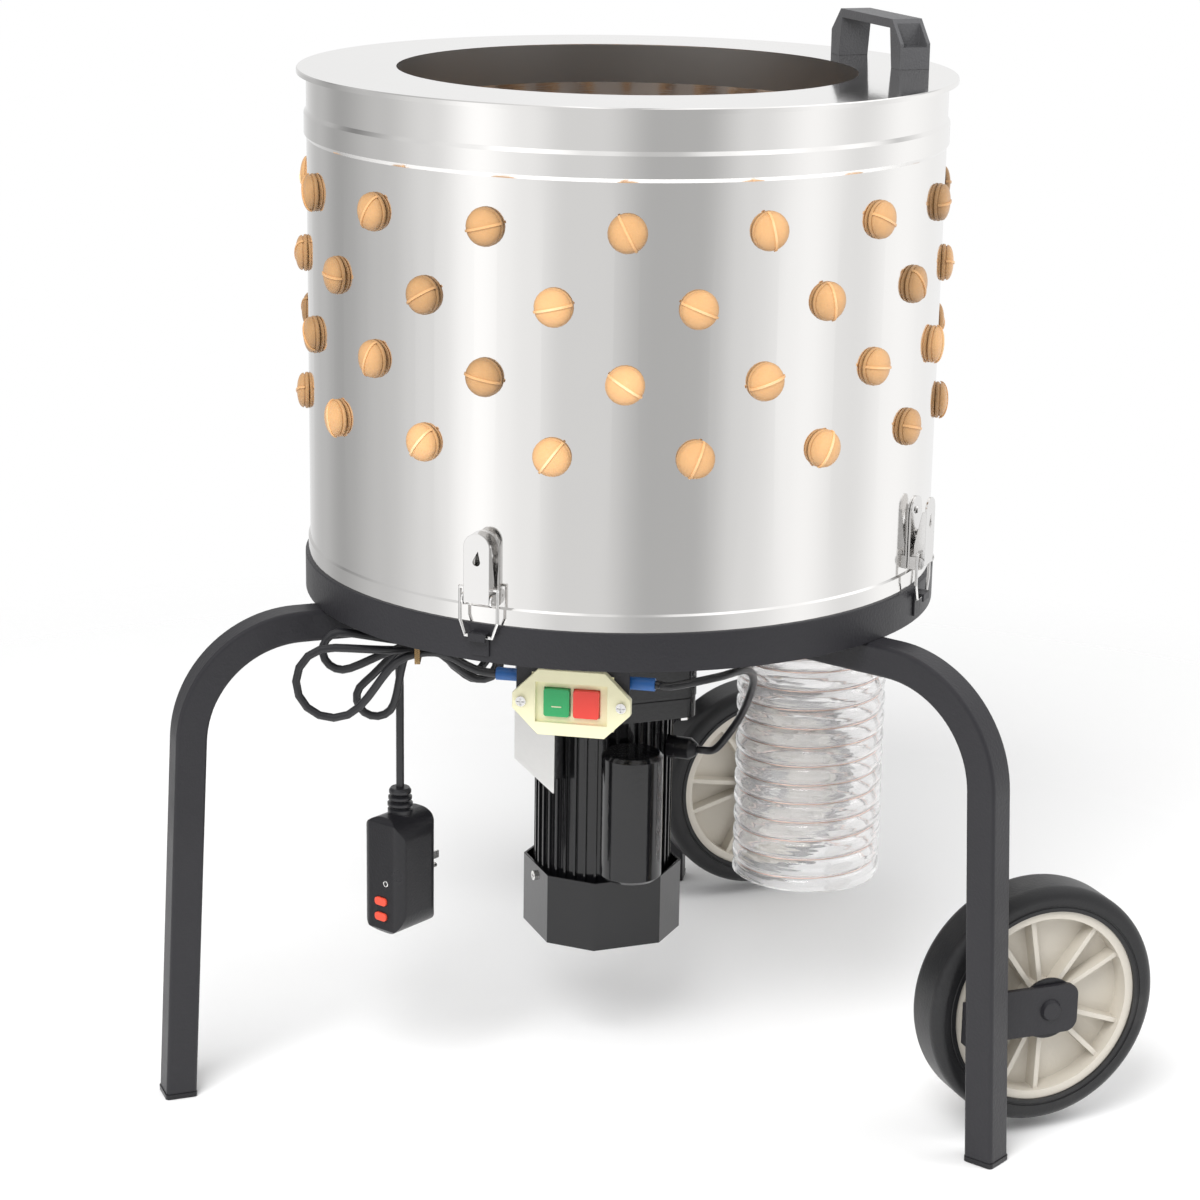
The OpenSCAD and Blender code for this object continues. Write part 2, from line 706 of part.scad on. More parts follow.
module hub() {
    seat = tyre_seat_d / 2;
    rim_t = 7;
    rim_w = tyre_w - 5;
    boss_r = 19;
    web_t = 5;
    rib_t = 4;
    rib_w = rim_w - 8;
    rest_turn = -40;
    difference() {
        union() {
            cylinder(r = boss_r, h = hub_w, center = true);
            cylinder(r = seat - 1, h = web_t, center = true);
            difference() {
                cylinder(r = seat, h = rim_w, center = true);
                cylinder(r = seat - rim_t, h = rim_w + 2 * past, center = true);
            }
            for (i = [0:hub_spokes - 1], s = [-1, 1])
                rotate([0, 0, rest_turn - i * 360 / hub_spokes + s * rib_spread / 2])
                translate([boss_r - 2, -rib_t / 2, -rib_w / 2])
                cube([seat - boss_r, rib_t, rib_w]);
        }
        cylinder(r = axle_d / 2 + run_fit, h = hub_w + 2 * past, center = true);
    }
}

module wheel_hub_left() { color(beige) at_drum() at_axle(tyre_mid) hub(); }
module wheel_hub_right() { color(beige) at_drum() at_axle(-tyre_mid) hub(); }

module tyre() {
    seat = tyre_seat_d / 2;
    r = tyre_d / 2;
    half = tyre_w / 2;
    crown = 4;
    shoulder = 9;
    rotate_extrude($fn = 128) difference() {
        union() {
            translate([seat, -half]) square([r - seat - shoulder, tyre_w]);
            translate([seat, -half + shoulder]) square([r - seat, tyre_w - 2 * shoulder]);
            for (s = [-1, 1]) translate([r - shoulder, s * (half - shoulder)]) circle(shoulder);
        }
        for (s = [-1, 1]) translate([seat + crown, s * half]) circle(1);
    }
}

module wheel_tyre_left() { color(black) at_drum() at_axle(tyre_mid) tyre(); }
module wheel_tyre_right() { color(black) at_drum() at_axle(-tyre_mid) tyre(); }

spigot_r = hose_bore / 2 - loose_fit;
spigot_l = 40;
housing_r = 34;
module base_pan() {
    r = pan_r;
    color(steel) difference() {
        union() {
            at_drum() rotate_extrude() polygon([
                [shaft_d / 2 + 3, pan_floor], [r, pan_floor], [r, ring_top], [flange_r, ring_top],
                [flange_r, ring_top + pan_t], [r - pan_t, ring_top + pan_t], [r - pan_t, pan_floor + pan_t],
                [shaft_d / 2 + 3, pan_floor + pan_t]]);
            at_hose(pan_floor - spigot_l) cylinder(r = spigot_r, h = spigot_l + pan_t);
        }
        at_hose(pan_floor - spigot_l - past) cylinder(r = spigot_r - pan_t, h = spigot_l + pan_t + 2 * past);
        for (a = pan_bolt_azs) at_az(a, pan_bolt_r, ring_top - past)
            cylinder(d = bolt_d, h = pan_t + 2 * past);
        for (s = [-1, 1]) at_az(switch_az, bracket_bolt_x, pan_floor - past)
            translate([0, s * bracket_bolt_y, 0])
            cylinder(d = bolt_d, h = pan_t + 2 * past);
    }
}

// Three-armed plate that lies on the legs' inner ends and carries the gearbox
module motor_plate() {
    disc_r = 95;
    color(coat) difference() {
        union() {
            at_drum() translate([0, 0, stand_h]) cylinder(r = disc_r, h = spider_t);
            for (a = leg_azs) at_az(a, 0, stand_h) translate([0, -arm_w / 2, 0])
                cube([arm_bolt_r + bolt_d + 2, arm_w, spider_t]);
        }
        at_drum() translate([0, 0, stand_h - past]) cylinder(r = shaft_d / 2 + 3, h = spider_t + 2 * past);
        for (a = leg_azs) at_az(a, arm_bolt_r, stand_h - past) cylinder(d = bolt_d, h = spider_t + 2 * past);
        for (x = [-1, 1], y = [-1, 1]) at_motor(stand_h - past) translate([x * gear_bolt, y * gear_bolt, 0])
            cylinder(d = bolt_d, h = spider_t + past - 1);
    }
}

shaft_in = 32;
module gearbox() {
    lip_z = 18;
    color(black) difference() {
        at_motor(0) {
            translate([0, 0, gear_z + lip_z]) linear_extrude(gear_h - lip_z) round_square(gear_w, gear_w, 10);
            translate([0, 0, gear_z + lip_z - 2]) linear_extrude(2) round_square(gear_w - 3, gear_w - 3, 9);
            translate([0, 0, gear_z]) linear_extrude(lip_z - 2) round_square(gear_w - 1, gear_w - 1, 10);
        }
        at_drum() translate([0, 0, stand_h - shaft_in - 2])
            cylinder(r = shaft_d / 2 + run_fit, h = shaft_in + 2 + past);
        for (x = [-1, 1], y = [-1, 1]) at_motor(gear_z - past) translate([x * gear_bolt, y * gear_bolt, 0])
            cylinder(d = bolt_d, h = gear_h + 2 * past);
    }
}

rotor_d = 16;
rotor_in = 30;
pad_x = motor_d / 2 + 4;
plate_l = 94;
plate_h = 58;
plate_mid_z = gear_z - 28;
module motor_body() {
    fin_h = 3;
    fin_t = 2;
    fins = 40;
    core = motor_d / 2 - fin_h;
    color(black) difference() {
        union() {
            at_motor(motor_z) {
                cylinder(r = core, h = motor_h);
                linear_extrude(motor_h) for (i = [0:fins - 1]) rotate(i * 360 / fins)
                    translate([core - 1, -fin_t / 2]) square([fin_h + 1, fin_t]);
            }
            at_motor(plate_mid_z - plate_h / 2 + 6) translate([-pad_x, -30, 0])
                cube([pad_x, 60, plate_h - 12]);
        }
        at_motor(motor_z - past) cylinder(r = rotor_d / 2 + run_fit, h = rotor_in + past);
        for (a = cowl_screw_azs) at_motor(cowl_screw_z) rotate([0, 0, a]) translate([cowl_w / 2 - 8, 0, 0])
            rotate([0, 90, 0]) cylinder(r = 2, h = 20);
    }
}

module octagon(w, cut) {
    h = w / 2;
    polygon([[h, cut - h], [h, h - cut], [h - cut, h], [cut - h, h],
        [-h, h - cut], [-h, cut - h], [cut - h, -h], [h - cut, -h]]);
}

module fan_cowl() {
    corner = 30;
    wall = (cowl_w - motor_d) / 2 - loose_fit;
    slot_w = 6;
    color(black) at_motor(cowl_z) difference() {
        linear_extrude(cowl_h) octagon(cowl_w, corner);
        translate([0, 0, wall]) linear_extrude(cowl_h) octagon(cowl_w - 2 * wall, corner - 0.6 * wall);
        for (i = [-3:3]) translate([-35, i * 2 * slot_w - slot_w / 2, -past])
            cube([70, slot_w, wall + 2 * past]);
        for (a = cowl_screw_azs) rotate([0, 0, a])
            translate([cowl_w / 2 - wall - past, 0, cowl_screw_z - cowl_z])
            rotate([0, 90, 0]) cylinder(r = 2, h = wall + 2 * past);
    }
}

module cooling_fan() {
    fan_z = cowl_z + 8;
    fan_h = 14;
    fan_r = motor_d / 2 - 10;
    hub_r = 14;
    color(coat) at_motor(0) {
        difference() {
            union() {
                translate([0, 0, fan_z]) cylinder(r = hub_r, h = fan_h);
                for (a = [0:60:300]) rotate([0, 0, a]) translate([hub_r - 2, -1.5, fan_z])
                    cube([fan_r - hub_r + 2, 3, fan_h]);
            }
            translate([0, 0, fan_z - past]) cylinder(d = rotor_d, h = fan_h + 2 * past);
        }
        translate([0, 0, fan_z - 2]) cylinder(d = rotor_d, h = motor_z + rotor_in - 2 - fan_z + 2);
    }
}

cap_dx = -7;
cap_y = -(motor_d + cap_cover_d) / 2;
cap_top = gear_z - 16;
module capacitor_cover() {
    saddle_w = 30;
    round = 3;
    color(black) at_motor(cap_top - cap_cover_h) difference() {
        union() {
            translate([cap_dx, cap_y, round]) cylinder(d = cap_cover_d, h = cap_cover_h - 2 * round);
            translate([cap_dx, cap_y, 0]) cylinder(d1 = cap_cover_d - 2 * round, d2 = cap_cover_d, h = round);
            translate([cap_dx, cap_y, cap_cover_h - round])
                cylinder(d1 = cap_cover_d, d2 = cap_cover_d - 2 * round, h = round);
            translate([cap_dx - saddle_w / 2, cap_y, 12])
                cube([saddle_w, -cap_y - motor_d / 2 + 10, cap_cover_h - 24]);
        }
        translate([0, 0, -past]) cylinder(d = motor_d + 2 * run_fit, h = cap_cover_h + 2 * past);
    }
}

module name_plate() {
    color(steel) at_motor(plate_mid_z) translate([-pad_x - 1, -plate_l / 2, -plate_h / 2])
        cube([1, plate_l, plate_h]);
}

gland_l = 24;
module cable_gland() {
    color(black) at_motor(gland_z) rotate([0, 0, gland_az]) difference() {
        rotate([0, 90, 0]) {
            cylinder(d = 20, h = motor_d / 2 + 6, $fn = 6);
            cylinder(d = 18, h = motor_d / 2 + gland_l - 6);
            translate([0, 0, motor_d / 2 + gland_l - 6]) cylinder(d1 = 18, d2 = cord_d + 3, h = 6);
        }
        translate([0, 0, -20]) cylinder(d = motor_d + 2 * run_fit, h = 40);
        rotate([0, 90, 0]) cylinder(d = cord_d, h = motor_d);
    }
}

// Tube swept along points: rings of cord_sides corners, turned with the least twist, closed at both ends
function tangent(p, i) = unit(p[min(i + 1, len(p) - 1)] - p[max(i - 1, 0)]);
function carry(n, t) = unit(n - (n * t) * t);
function frames(p) = let (t0 = tangent(p, 0), n0 = unit(cross(t0, abs(t0[2]) < 0.9 ? [0, 0, 1] : [1, 0, 0])))
    [for (i = 0, n = n0; i < len(p); i = i + 1, n = i < len(p) ? carry(n, tangent(p, i)) : n) n];
function ring_points(p, d, sides) = let (f = frames(p))
    [for (i = [0:len(p) - 1], k = [0:sides - 1]) let (a = k * 360 / sides, t = tangent(p, i))
        p[i] + d / 2 * (cos(a) * f[i] + sin(a) * cross(t, f[i]))];
function ring_faces(m, sides) = concat(
    [for (k = [1:sides - 2]) [0, k, k + 1]],
    [for (i = [0:m - 2], k = [0:sides - 1]) each let (a = i * sides + k, b = i * sides + (k + 1) % sides)
        [[a, a + sides, b], [b, a + sides, b + sides]]],
    [for (k = [1:sides - 2]) let (e = (m - 1) * sides) [e, e + k + 1, e + k]]);
module cord_tube(p, sides) {
    polyhedron(ring_points(p, cord_d, sides), ring_faces(len(p), sides));
}

// Smooth route through hand-chosen points
function spline_point(p, i, t) = let (
    a = p[max(i - 1, 0)],
    b = p[i],
    c = p[i + 1],
    d = p[min(i + 2, len(p) - 1)])
    bezier(b, b + (c - a) / 6, c - (d - b) / 6, c, t);
function spline(p, n) = concat(
    [for (i = [0:len(p) - 2], k = [0:n - 1]) spline_point(p, i, k / n)], [p[len(p) - 1]]);

function sleeve_end(s) = turn([sleeve_x, s * (box_l / 2 + sleeve_l), sleeve_z], switch_az);
gland_end = [motor_dx, motor_dy, gland_z] + turn([motor_d / 2 + gland_l, 0, 0], gland_az);
lead_points = concat(
    [sleeve_end(1) + turn([0, 4, 0], switch_az), sleeve_end(1) + turn([0, 14, 0], switch_az)],
    [[12, -182, stand_h - 30], [44, -160, stand_h - 34], [64, -132, stand_h - 52],
        [72, -102, stand_h - 82], [74, -76, gland_z + 28]],
    [gland_end + turn([16, 0, 3], gland_az), gland_end + turn([4, 0, 0], gland_az)]);
module motor_lead() {
    color(black) at_drum() cord_tube(concat([sleeve_end(1)], spline(lead_points, 3), [gland_end]), 8);
}

module drive_shaft() {
    thread_l = 22;
    nut_w = shaft_d * 1.5;
    color(steel) at_drum() {
        translate([0, 0, stand_h - shaft_in])
            cylinder(d = shaft_d, h = plate_z + plate_t + thread_l - stand_h + shaft_in);
        difference() {
            translate([0, 0, plate_z + plate_t]) cylinder(d = nut_w, h = 14, $fn = 6);
            translate([0, 0, plate_z]) cylinder(d = shaft_d, h = 40);
        }
    }
}

housing_h = 24;
module bearing_housing() {
    z = pan_floor + pan_t;
    color(coat) at_drum() difference() {
        union() {
            translate([0, 0, z]) cylinder(r = housing_r + 10, h = 6);
            translate([0, 0, z]) cylinder(r = housing_r, h = housing_h);
        }
        translate([0, 0, z - past]) cylinder(r = shaft_d / 2 + run_fit, h = housing_h + 2 * past);
    }
}

inner_ring_r = 80;
outer_ring_r = 145;
inner_count = 8;
outer_count = 12;
function plate_spots() = concat(
    [for (i = [0:inner_count - 1]) [inner_ring_r, i * 360 / inner_count]],
    [for (i = [0:outer_count - 1]) [outer_ring_r, (i + 0.5) * 360 / outer_count]]);
module feather_plate() {
    hub_z = pan_floor + pan_t + housing_h + 1.5;
    color(steel) at_drum() difference() {
        union() {
            translate([0, 0, plate_z]) cylinder(d = plate_d, h = plate_t);
            translate([0, 0, hub_z]) cylinder(r = housing_r - 4, h = plate_z - hub_z);
        }
        translate([0, 0, hub_z - past]) cylinder(d = shaft_d, h = plate_z + plate_t - hub_z + 2 * past);
        for (s = plate_spots()) rotate([0, 0, s[1]]) translate([s[0], 0, plate_z - past])
            cylinder(r = finger_neck_d / 2 + run_fit, h = plate_t + 2 * past);
    }
}

module plate_fingers() {
    color(amber) at_drum() for (s = plate_spots()) rotate([0, 0, s[1]]) translate([s[0], 0, plate_z])
        rotate([180, 0, 0]) finger(plate_t, plate_finger_l);
}

module at_switch(x) { at_az(switch_az, x, switch_z) children(); }
module switch_box() {
    wall = 2;
    color(cream) at_switch(switch_r - switch_t - box_d) difference() {
        translate([0, -box_l / 2, -box_h / 2]) cube([box_d, box_l, box_h]);
        translate([wall, wall - box_l / 2, wall - box_h / 2])
            cube([box_d, box_l - 2 * wall, box_h - 2 * wall]);
    }
}

module switch_plate() {
    half = switch_l / 2;
    blunt = 6;
    shoulder = switch_h / 2 - blunt;
    color(cream) at_switch(switch_r - switch_t) difference() {
        rotate([90, 0, 90]) linear_extrude(switch_t) polygon([
            [half, -blunt], [half, blunt], [half - shoulder, switch_h / 2], [shoulder - half, switch_h / 2],
            [-half, blunt], [-half, -blunt], [shoulder - half, -switch_h / 2],
            [half - shoulder, -switch_h / 2]]);
        translate([switch_t - window_depth, -window_l / 2, -window_h / 2])
            cube([switch_t, window_l, window_h]);
        for (s = [-1, 1]) translate([-past, s * button_y, 0]) rotate([90, 0, 90])
            linear_extrude(switch_t)
                square([button_w + 2 * move_gap, button_h + 2 * move_gap], center = true);
        for (s = [-1, 1]) translate([-past, s * screw_y, 0]) rotate([0, 90, 0])
            cylinder(r = 2, h = switch_t + 2 * past);
    }
}

// Push button: a cap through the plate, held by a flange behind it
module push_button(s) {
    cap_out = 2;
    flange_t = 2;
    reach = 1.5;
    at_switch(0) translate([0, s * button_y, 0]) rotate([90, 0, 90]) {
        translate([0, 0, switch_r - switch_t - 4]) linear_extrude(switch_t + 4 + cap_out - window_depth + 2)
            round_square(button_w, button_h, 2);
        translate([0, 0, switch_r - switch_t - move_gap - flange_t]) linear_extrude(flange_t)
            square([button_w + button_gap - 0.8, button_h + 2 * reach], center = true);
    }
}
module start_button() { color([0.10, 0.55, 0.25]) push_button(-1); }
module stop_button() { color([0.85, 0.15, 0.12]) push_button(1); }

module switch_bracket() {
    l = 2 * screw_y + 10;
    low = -8;
    high = pan_floor - switch_z;
    color(coat) at_switch(switch_r - switch_t - sheet_t) difference() {
        union() {
            translate([0, -l / 2, low]) cube([sheet_t, l, high - low]);
            translate([-30, -l / 2, high - sheet_t]) cube([30 + sheet_t, l, sheet_t]);
        }
        translate([-past, -box_l / 2, -box_h / 2]) cube([sheet_t + 2 * past, box_l, box_h]);
        for (s = [-1, 1]) translate([-past, s * screw_y, 0]) rotate([0, 90, 0])
            cylinder(r = 2, h = sheet_t + 2 * past);
        for (s = [-1, 1]) translate([bracket_bolt_x - switch_r + switch_t + sheet_t, s * bracket_bolt_y, 0])
            translate([0, 0, high - sheet_t - past])
            cylinder(d = bolt_d, h = sheet_t + 2 * past);
    }
}

module cable_sleeves() {
    color(blue) for (s = [-1, 1]) at_az(switch_az, sleeve_x, sleeve_z) translate([0, s * box_l / 2, 0])
        rotate([-90 * s, 0, 0]) cylinder(d = sleeve_d, h = sleeve_l);
}

hose_top = pan_floor - 3;
module feather_hose() {
    bore = hose_bore / 2;
    wall = bore + hose_wall;
    cuff = 26;
    ribs = floor((hose_l - cuff) / rib_pitch);
    base = hose_l - cuff - ribs * rib_pitch;
    arc = 30;
    color(clear) at_hose(hose_top - hose_l) rotate_extrude() polygon(concat(
        [[bore, hose_l], [bore, 0], [wall, 0], [wall, base]],
        [for (i = [0:ribs - 1], a = [arc:arc:180])
            [wall + rib_proud * sin(a), base + rib_pitch * (i + 0.5 - cos(a) / 2)]],
        [[wall, hose_l]]));
}

module hose_clamp() {
    r = hose_bore / 2 + hose_wall;
    band_h = 12;
    band_t = 1.2;
    screw_az = 100;
    color(chrome) at_hose(hose_top - 20) difference() {
        union() {
            cylinder(r = r + band_t, h = band_h);
            rotate([0, 0, screw_az]) translate([r, -9, 0]) cube([9, 18, band_h]);
        }
        translate([0, 0, -past]) cylinder(r = r, h = band_h + 2 * past);
    }
}

// Cord bundle: x to the right, y away and z up from the tie
function plane_way(a) = [cos(a), 0, sin(a)];
function plane_angle(v) = atan2(v[2], v[0]);
function slot(k) = [0, k == 0 ? first_slot : second_slot + (k - 1) * layer, 0];
function in_bundle(p) = turn(p - tie_at, -tie_az);
function from_bundle(p) = turn(p, tie_az) + tie_at;
entry = in_bundle(sleeve_end(-1));
entry_way = in_bundle(sleeve_end(-1) + turn([0, -1, 0], switch_az)) - entry;
count = len(loops);
// Way of the strand through the tie, halfway between the loop it leaves and the loop it starts
function heading(k) = let (
    from = k == 0 ? [entry_way[0], 0, entry_way[2]] : -plane_way(loops[k - 1][0]),
    to = k == count ? [0, 0, -0.3] : plane_way(loops[k][0])) unit(from + to);
// Side of the loop that the strand goes out on
function side(k) = let (w = plane_angle(-heading(k + 1)) - plane_angle(heading(k))) sin(w) > 0 ? 1 : -1;
// Angle between a loop's direction and each of its strands, which meet its round end
function spread(k) = asin(loops[k][2] / (loops[k][1] - loops[k][2]));
// Point of the round end, from q = -1 where the strand comes in to q = 1 where it leaves
function round_end(k, q) = let (rise = slot(k + 1) - slot(k))
    slot(k) + rise / 2 + (loops[k][1] - loops[k][2]) * plane_way(loops[k][0])
        + loops[k][2] * plane_way(loops[k][0] + side(k) * (90 + spread(k)) * q) + 0.15 * q * rise;
function loop_curve(k, t) = let (
    rise = slot(k + 1) - slot(k),
    reach = tie_reach * loops[k][1],
    out = plane_way(loops[k][0] - side(k) * spread(k)),
    back = -plane_way(loops[k][0] + side(k) * spread(k)),
    a = round_end(k, -1),
    b = round_end(k, 1))
    t < strand ? bezier(slot(k), slot(k) + reach * heading(k) + 0.08 * rise,
            a - reach * out - 0.05 * rise, a, t / strand)
        : t <= 1 - strand ? round_end(k, (2 * t - 1) / (1 - 2 * strand))
        : bezier(b, b + reach * back + 0.05 * rise,
            slot(k + 1) - reach * heading(k + 1) - 0.08 * rise, slot(k + 1), (t - 1 + strand) / strand);
tail_start = slot(count) + [tail_side, tail_back, -tail_drop];
// Short straight stretch where the cord leaves a face
face_run = 3;
function bundle_route(n) = concat([entry],
    [for (i = [0:n / 2 - 1]) bezier(entry + face_run * entry_way, entry + 30 * entry_way,
        slot(0) - 30 * heading(0), slot(0), 2 * i / n)],
    [for (k = [0:count - 1], i = [0:n - 1]) loop_curve(k, i / n)],
    [for (i = [0:n / 2]) bezier(slot(count), slot(count) + 24 * heading(count),
        tail_start + [0, 0, 30], tail_start + [0, 0, face_run], 2 * i / n)], [tail_start]);
bundle = bundle_route(loop_rings);

// Least gap of the bundle to itself, measured between points more than three cord diameters apart along it
fine = bundle_route(2 * loop_rings);
apart = 3.2 * cord_d;
function fine_step(i) = i + 1 < len(fine) ? norm(fine[i + 1] - fine[i]) : 0;
run = [for (i = 0, s = 0; i < len(fine); s = s + fine_step(i), i = i + 1) s];
least = min([for (i = [0:len(fine) - 1], k = [i + 1:1:len(fine) - 1])
    if (run[k] - run[i] > apart) norm(fine[i] - fine[k])]);
echo(bundle_least_gap = least - cord_d, bundle_length = run[len(run) - 1]);

module cord_loops() {
    color(black) at_drum() cord_tube([for (p = bundle) from_bundle(p)], cord_sides);
}

tail_top = from_bundle(tail_start);
module cord_tail() {
    fall = tail_top[2] - relief_top;
    steps = 5;
    color(black) at_drum() cord_tube([for (i = [0:steps]) tail_top - [0, 0, fall * i / steps]], 8);
}

// Tie: a flat band round the crossing strands that hangs over the peg
tie_w = 4;
tie_t = 1.3;
module cord_tie() {
    near = [for (p = bundle) if (abs(p[0]) < tie_w) p];
    y0 = min([for (p = near) p[1]]) - cord_d;
    y1 = max([for (p = near) p[1]]) + cord_d;
    z0 = min([for (p = near) p[2]]) - cord_d;
    z1 = peg_z + peg_r - tie_at[2] + run_fit;
    round = 6;
    color([0.55, 0.42, 0.25]) at_drum() translate(tie_at) rotate([0, 0, tie_az]) rotate([90, 0, 90])
        translate([(y0 + y1) / 2, (z0 + z1) / 2]) linear_extrude(tie_w, center = true) difference() {
            round_square(y1 - y0 + 2 * tie_t, z1 - z0 + 2 * tie_t, round);
            round_square(y1 - y0, z1 - z0, round - tie_t);
        }
}

module at_plug(z) { at_drum() translate([tail_top[0], tail_top[1], z]) rotate([0, 0, plug_az]) children(); }
plug_z = relief_top - relief_l - plug_h;
relief_foot = 10;
pocket_l = 12;
pocket_w = 6.5;
pocket_in = 5;
test_z = plug_z + 28;
reset_z = plug_z + 15;
module plug_body() {
    end_round = 18;
    side_round = 8;
    slope = 4;
    deep = plug_d / 2;
    color(black) at_plug(plug_z) difference() {
        union() {
            intersection() {
                translate([-deep, 0, 0]) rotate([90, 0, 90]) linear_extrude(plug_d)
                    translate([0, plug_h / 2]) round_square(plug_w, plug_h, end_round);
                linear_extrude(plug_h) round_square(plug_d, plug_w, side_round);
                rotate([90, 0, 0]) linear_extrude(plug_w, center = true) polygon([[-deep, 0], [deep - slope, 0],
                    [deep, slope], [deep, plug_h - slope], [deep - slope, plug_h], [-deep, plug_h]]);
            }
            translate([0, 0, plug_h - 4]) cylinder(r = relief_foot, h = 4);
        }
        for (z = [test_z, reset_z]) translate([plug_d / 2 - pocket_in, 0, z - plug_z]) rotate([90, 0, 90])
            linear_extrude(pocket_in + past)
                round_square(pocket_l + 2 * move_gap, pocket_w + 2 * move_gap, 3);
    }
}

module strain_relief() {
    rings = 3;
    foot = relief_foot;
    neck = 7.5;
    step = relief_l / (rings + 1);
    color(black) at_plug(plug_z + plug_h) rotate_extrude() polygon(concat(
        [[0, 0], [foot, 0], [foot, step * 0.6]],
        [for (i = [1:rings]) let (r = foot + (neck - foot) * i / (rings + 1))
            each [[r - 1.5, step * i - 1], [r + 0.8, step * i + 1], [r + 0.8, step * (i + 0.6)]]],
        [[neck, relief_l], [0, relief_l]]));
}

module plug_blades() {
    color(steel) at_plug(plug_z + plug_h * 0.45) {
        for (s = [-1, 1]) translate([-plug_d / 2 - 16, s * 6.35 - 0.75, 6]) cube([16, 1.5, 6.3]);
        translate([-plug_d / 2, 0, -3]) rotate([0, -90, 0]) cylinder(d = 4.8, h = 19);
    }
}

module plug_button(z) {
    proud = 1.5;
    rest = 3.5;
    color([0.9, 0.25, 0.15]) at_plug(z) translate([plug_d / 2 - pocket_in + rest, 0, 0]) rotate([90, 0, 90])
        linear_extrude(pocket_in - rest + proud) round_square(pocket_l, pocket_w, 2.7);
}
module test_button() { plug_button(test_z); }
module reset_button() { plug_button(reset_z); }

drum_shell();
top_plate();
wall_fingers(0, half_rows - 1);  // wall_fingers_upper
wall_fingers(half_rows, finger_rows - 1);  // wall_fingers_lower
carry_handle();
cross_screws();
latch_bases();
latch_rivets();
latch_lever(1);  // latch_lever_1
latch_lever(2);  // latch_lever_2
latch_lever(3);  // latch_lever_3
latch_lever(4);  // latch_lever_4
latch_bail(1);  // latch_bail_1
latch_bail(2);  // latch_bail_2
latch_bail(3);  // latch_bail_3
latch_bail(4);  // latch_bail_4
latch_catches();
ring_hoop();
front_leg();
wheel_leg_left();
wheel_leg_right();
leg_caps();
wheel_brackets();
stub_axles();
wheel_washers();
hex_fasteners();
wheel_hub_left();
wheel_hub_right();
wheel_tyre_left();
wheel_tyre_right();
base_pan();
motor_plate();
gearbox();
motor_body();
fan_cowl();
cooling_fan();
capacitor_cover();
name_plate();
cable_gland();
motor_lead();
drive_shaft();
bearing_housing();
feather_plate();
plate_fingers();
switch_box();
switch_plate();
start_button();
stop_button();
switch_bracket();
cable_sleeves();
feather_hose();
hose_clamp();
cord_loops();
cord_tail();
cord_tie();
plug_body();
strain_relief();
plug_blades();
test_button();
reset_button();
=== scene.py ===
"""Dresses the drum poultry plucker: stage, cords, hose, rubber fingers and the finish of every piece."""

import json
import math
import random

import bmesh
import bpy
from mathutils import Matrix, Vector


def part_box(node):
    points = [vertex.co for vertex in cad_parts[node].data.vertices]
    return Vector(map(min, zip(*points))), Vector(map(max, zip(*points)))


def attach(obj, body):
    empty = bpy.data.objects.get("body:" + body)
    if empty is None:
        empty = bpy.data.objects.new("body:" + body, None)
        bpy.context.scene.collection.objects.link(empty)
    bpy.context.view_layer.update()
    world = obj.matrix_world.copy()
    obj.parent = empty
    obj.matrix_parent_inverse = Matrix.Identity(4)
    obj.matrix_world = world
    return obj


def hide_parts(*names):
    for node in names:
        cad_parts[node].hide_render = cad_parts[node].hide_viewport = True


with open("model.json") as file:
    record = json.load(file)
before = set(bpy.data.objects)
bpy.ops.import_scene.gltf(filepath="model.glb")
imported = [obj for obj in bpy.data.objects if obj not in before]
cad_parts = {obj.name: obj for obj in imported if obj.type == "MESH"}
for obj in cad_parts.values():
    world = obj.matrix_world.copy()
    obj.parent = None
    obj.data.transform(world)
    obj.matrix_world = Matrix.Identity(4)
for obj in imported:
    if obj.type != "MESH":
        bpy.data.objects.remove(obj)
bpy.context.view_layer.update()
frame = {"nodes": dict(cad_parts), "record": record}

bl_info = {
    "name": "Drum poultry plucker",
    "version": (1, 0, 0),
    "blender": (4, 5, 0),
    "location": "3D View > Sidebar > Plucker",
    "description": "Cords, hose, fingers and finishes of a drum poultry plucker",
    "category": "Object",
}

MM = 0.001
LOOK = "look_"
TURN_STEPS = 48


def axis_of(node):
    """Upright middle line of a node, as a point on the floor."""
    low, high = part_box(node)
    return Vector(((low.x + high.x) / 2, (low.y + high.y) / 2, 0))


RIM_OVERHANG = 7.5 * MM
DRUM_AXIS = axis_of("drum_shell")
RING_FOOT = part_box("ring_hoop")[0].z
DRUM_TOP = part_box("drum_shell")[1].z
DRUM_R = (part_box("top_plate")[1].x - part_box("top_plate")[0].x) / 2 - RIM_OVERHANG
CAMERA_AT = DRUM_AXIS + Vector((-896.8, -2276.7, 1078.3)) * MM


def length(name, description, default):
    """Property for a length in metres."""
    return bpy.props.FloatProperty(
        name=name, description=description, default=default, unit="LENGTH", subtype="DISTANCE", precision=4
    )


def angle(name, description, degrees):
    """Property for an angle, given in degrees."""
    return bpy.props.FloatProperty(
        name=name, description=description, default=math.radians(degrees), unit="ROTATION", subtype="ANGLE"
    )


def number(name, description, default):
    """Property for a plain number."""
    return bpy.props.FloatProperty(name=name, description=description, default=default)


def power(name, description, default):
    """Property for the power of a lamp."""
    return bpy.props.FloatProperty(name=name, description=description, default=default, unit="POWER")


def count(name, description, default):
    """Property for a whole number."""
    return bpy.props.IntProperty(name=name, description=description, default=default, min=1)


def colour(name, description, default):
    """Property for a colour in linear light."""
    return bpy.props.FloatVectorProperty(
        name=name, description=description, default=default, subtype="COLOR", size=3, min=0, max=1
    )


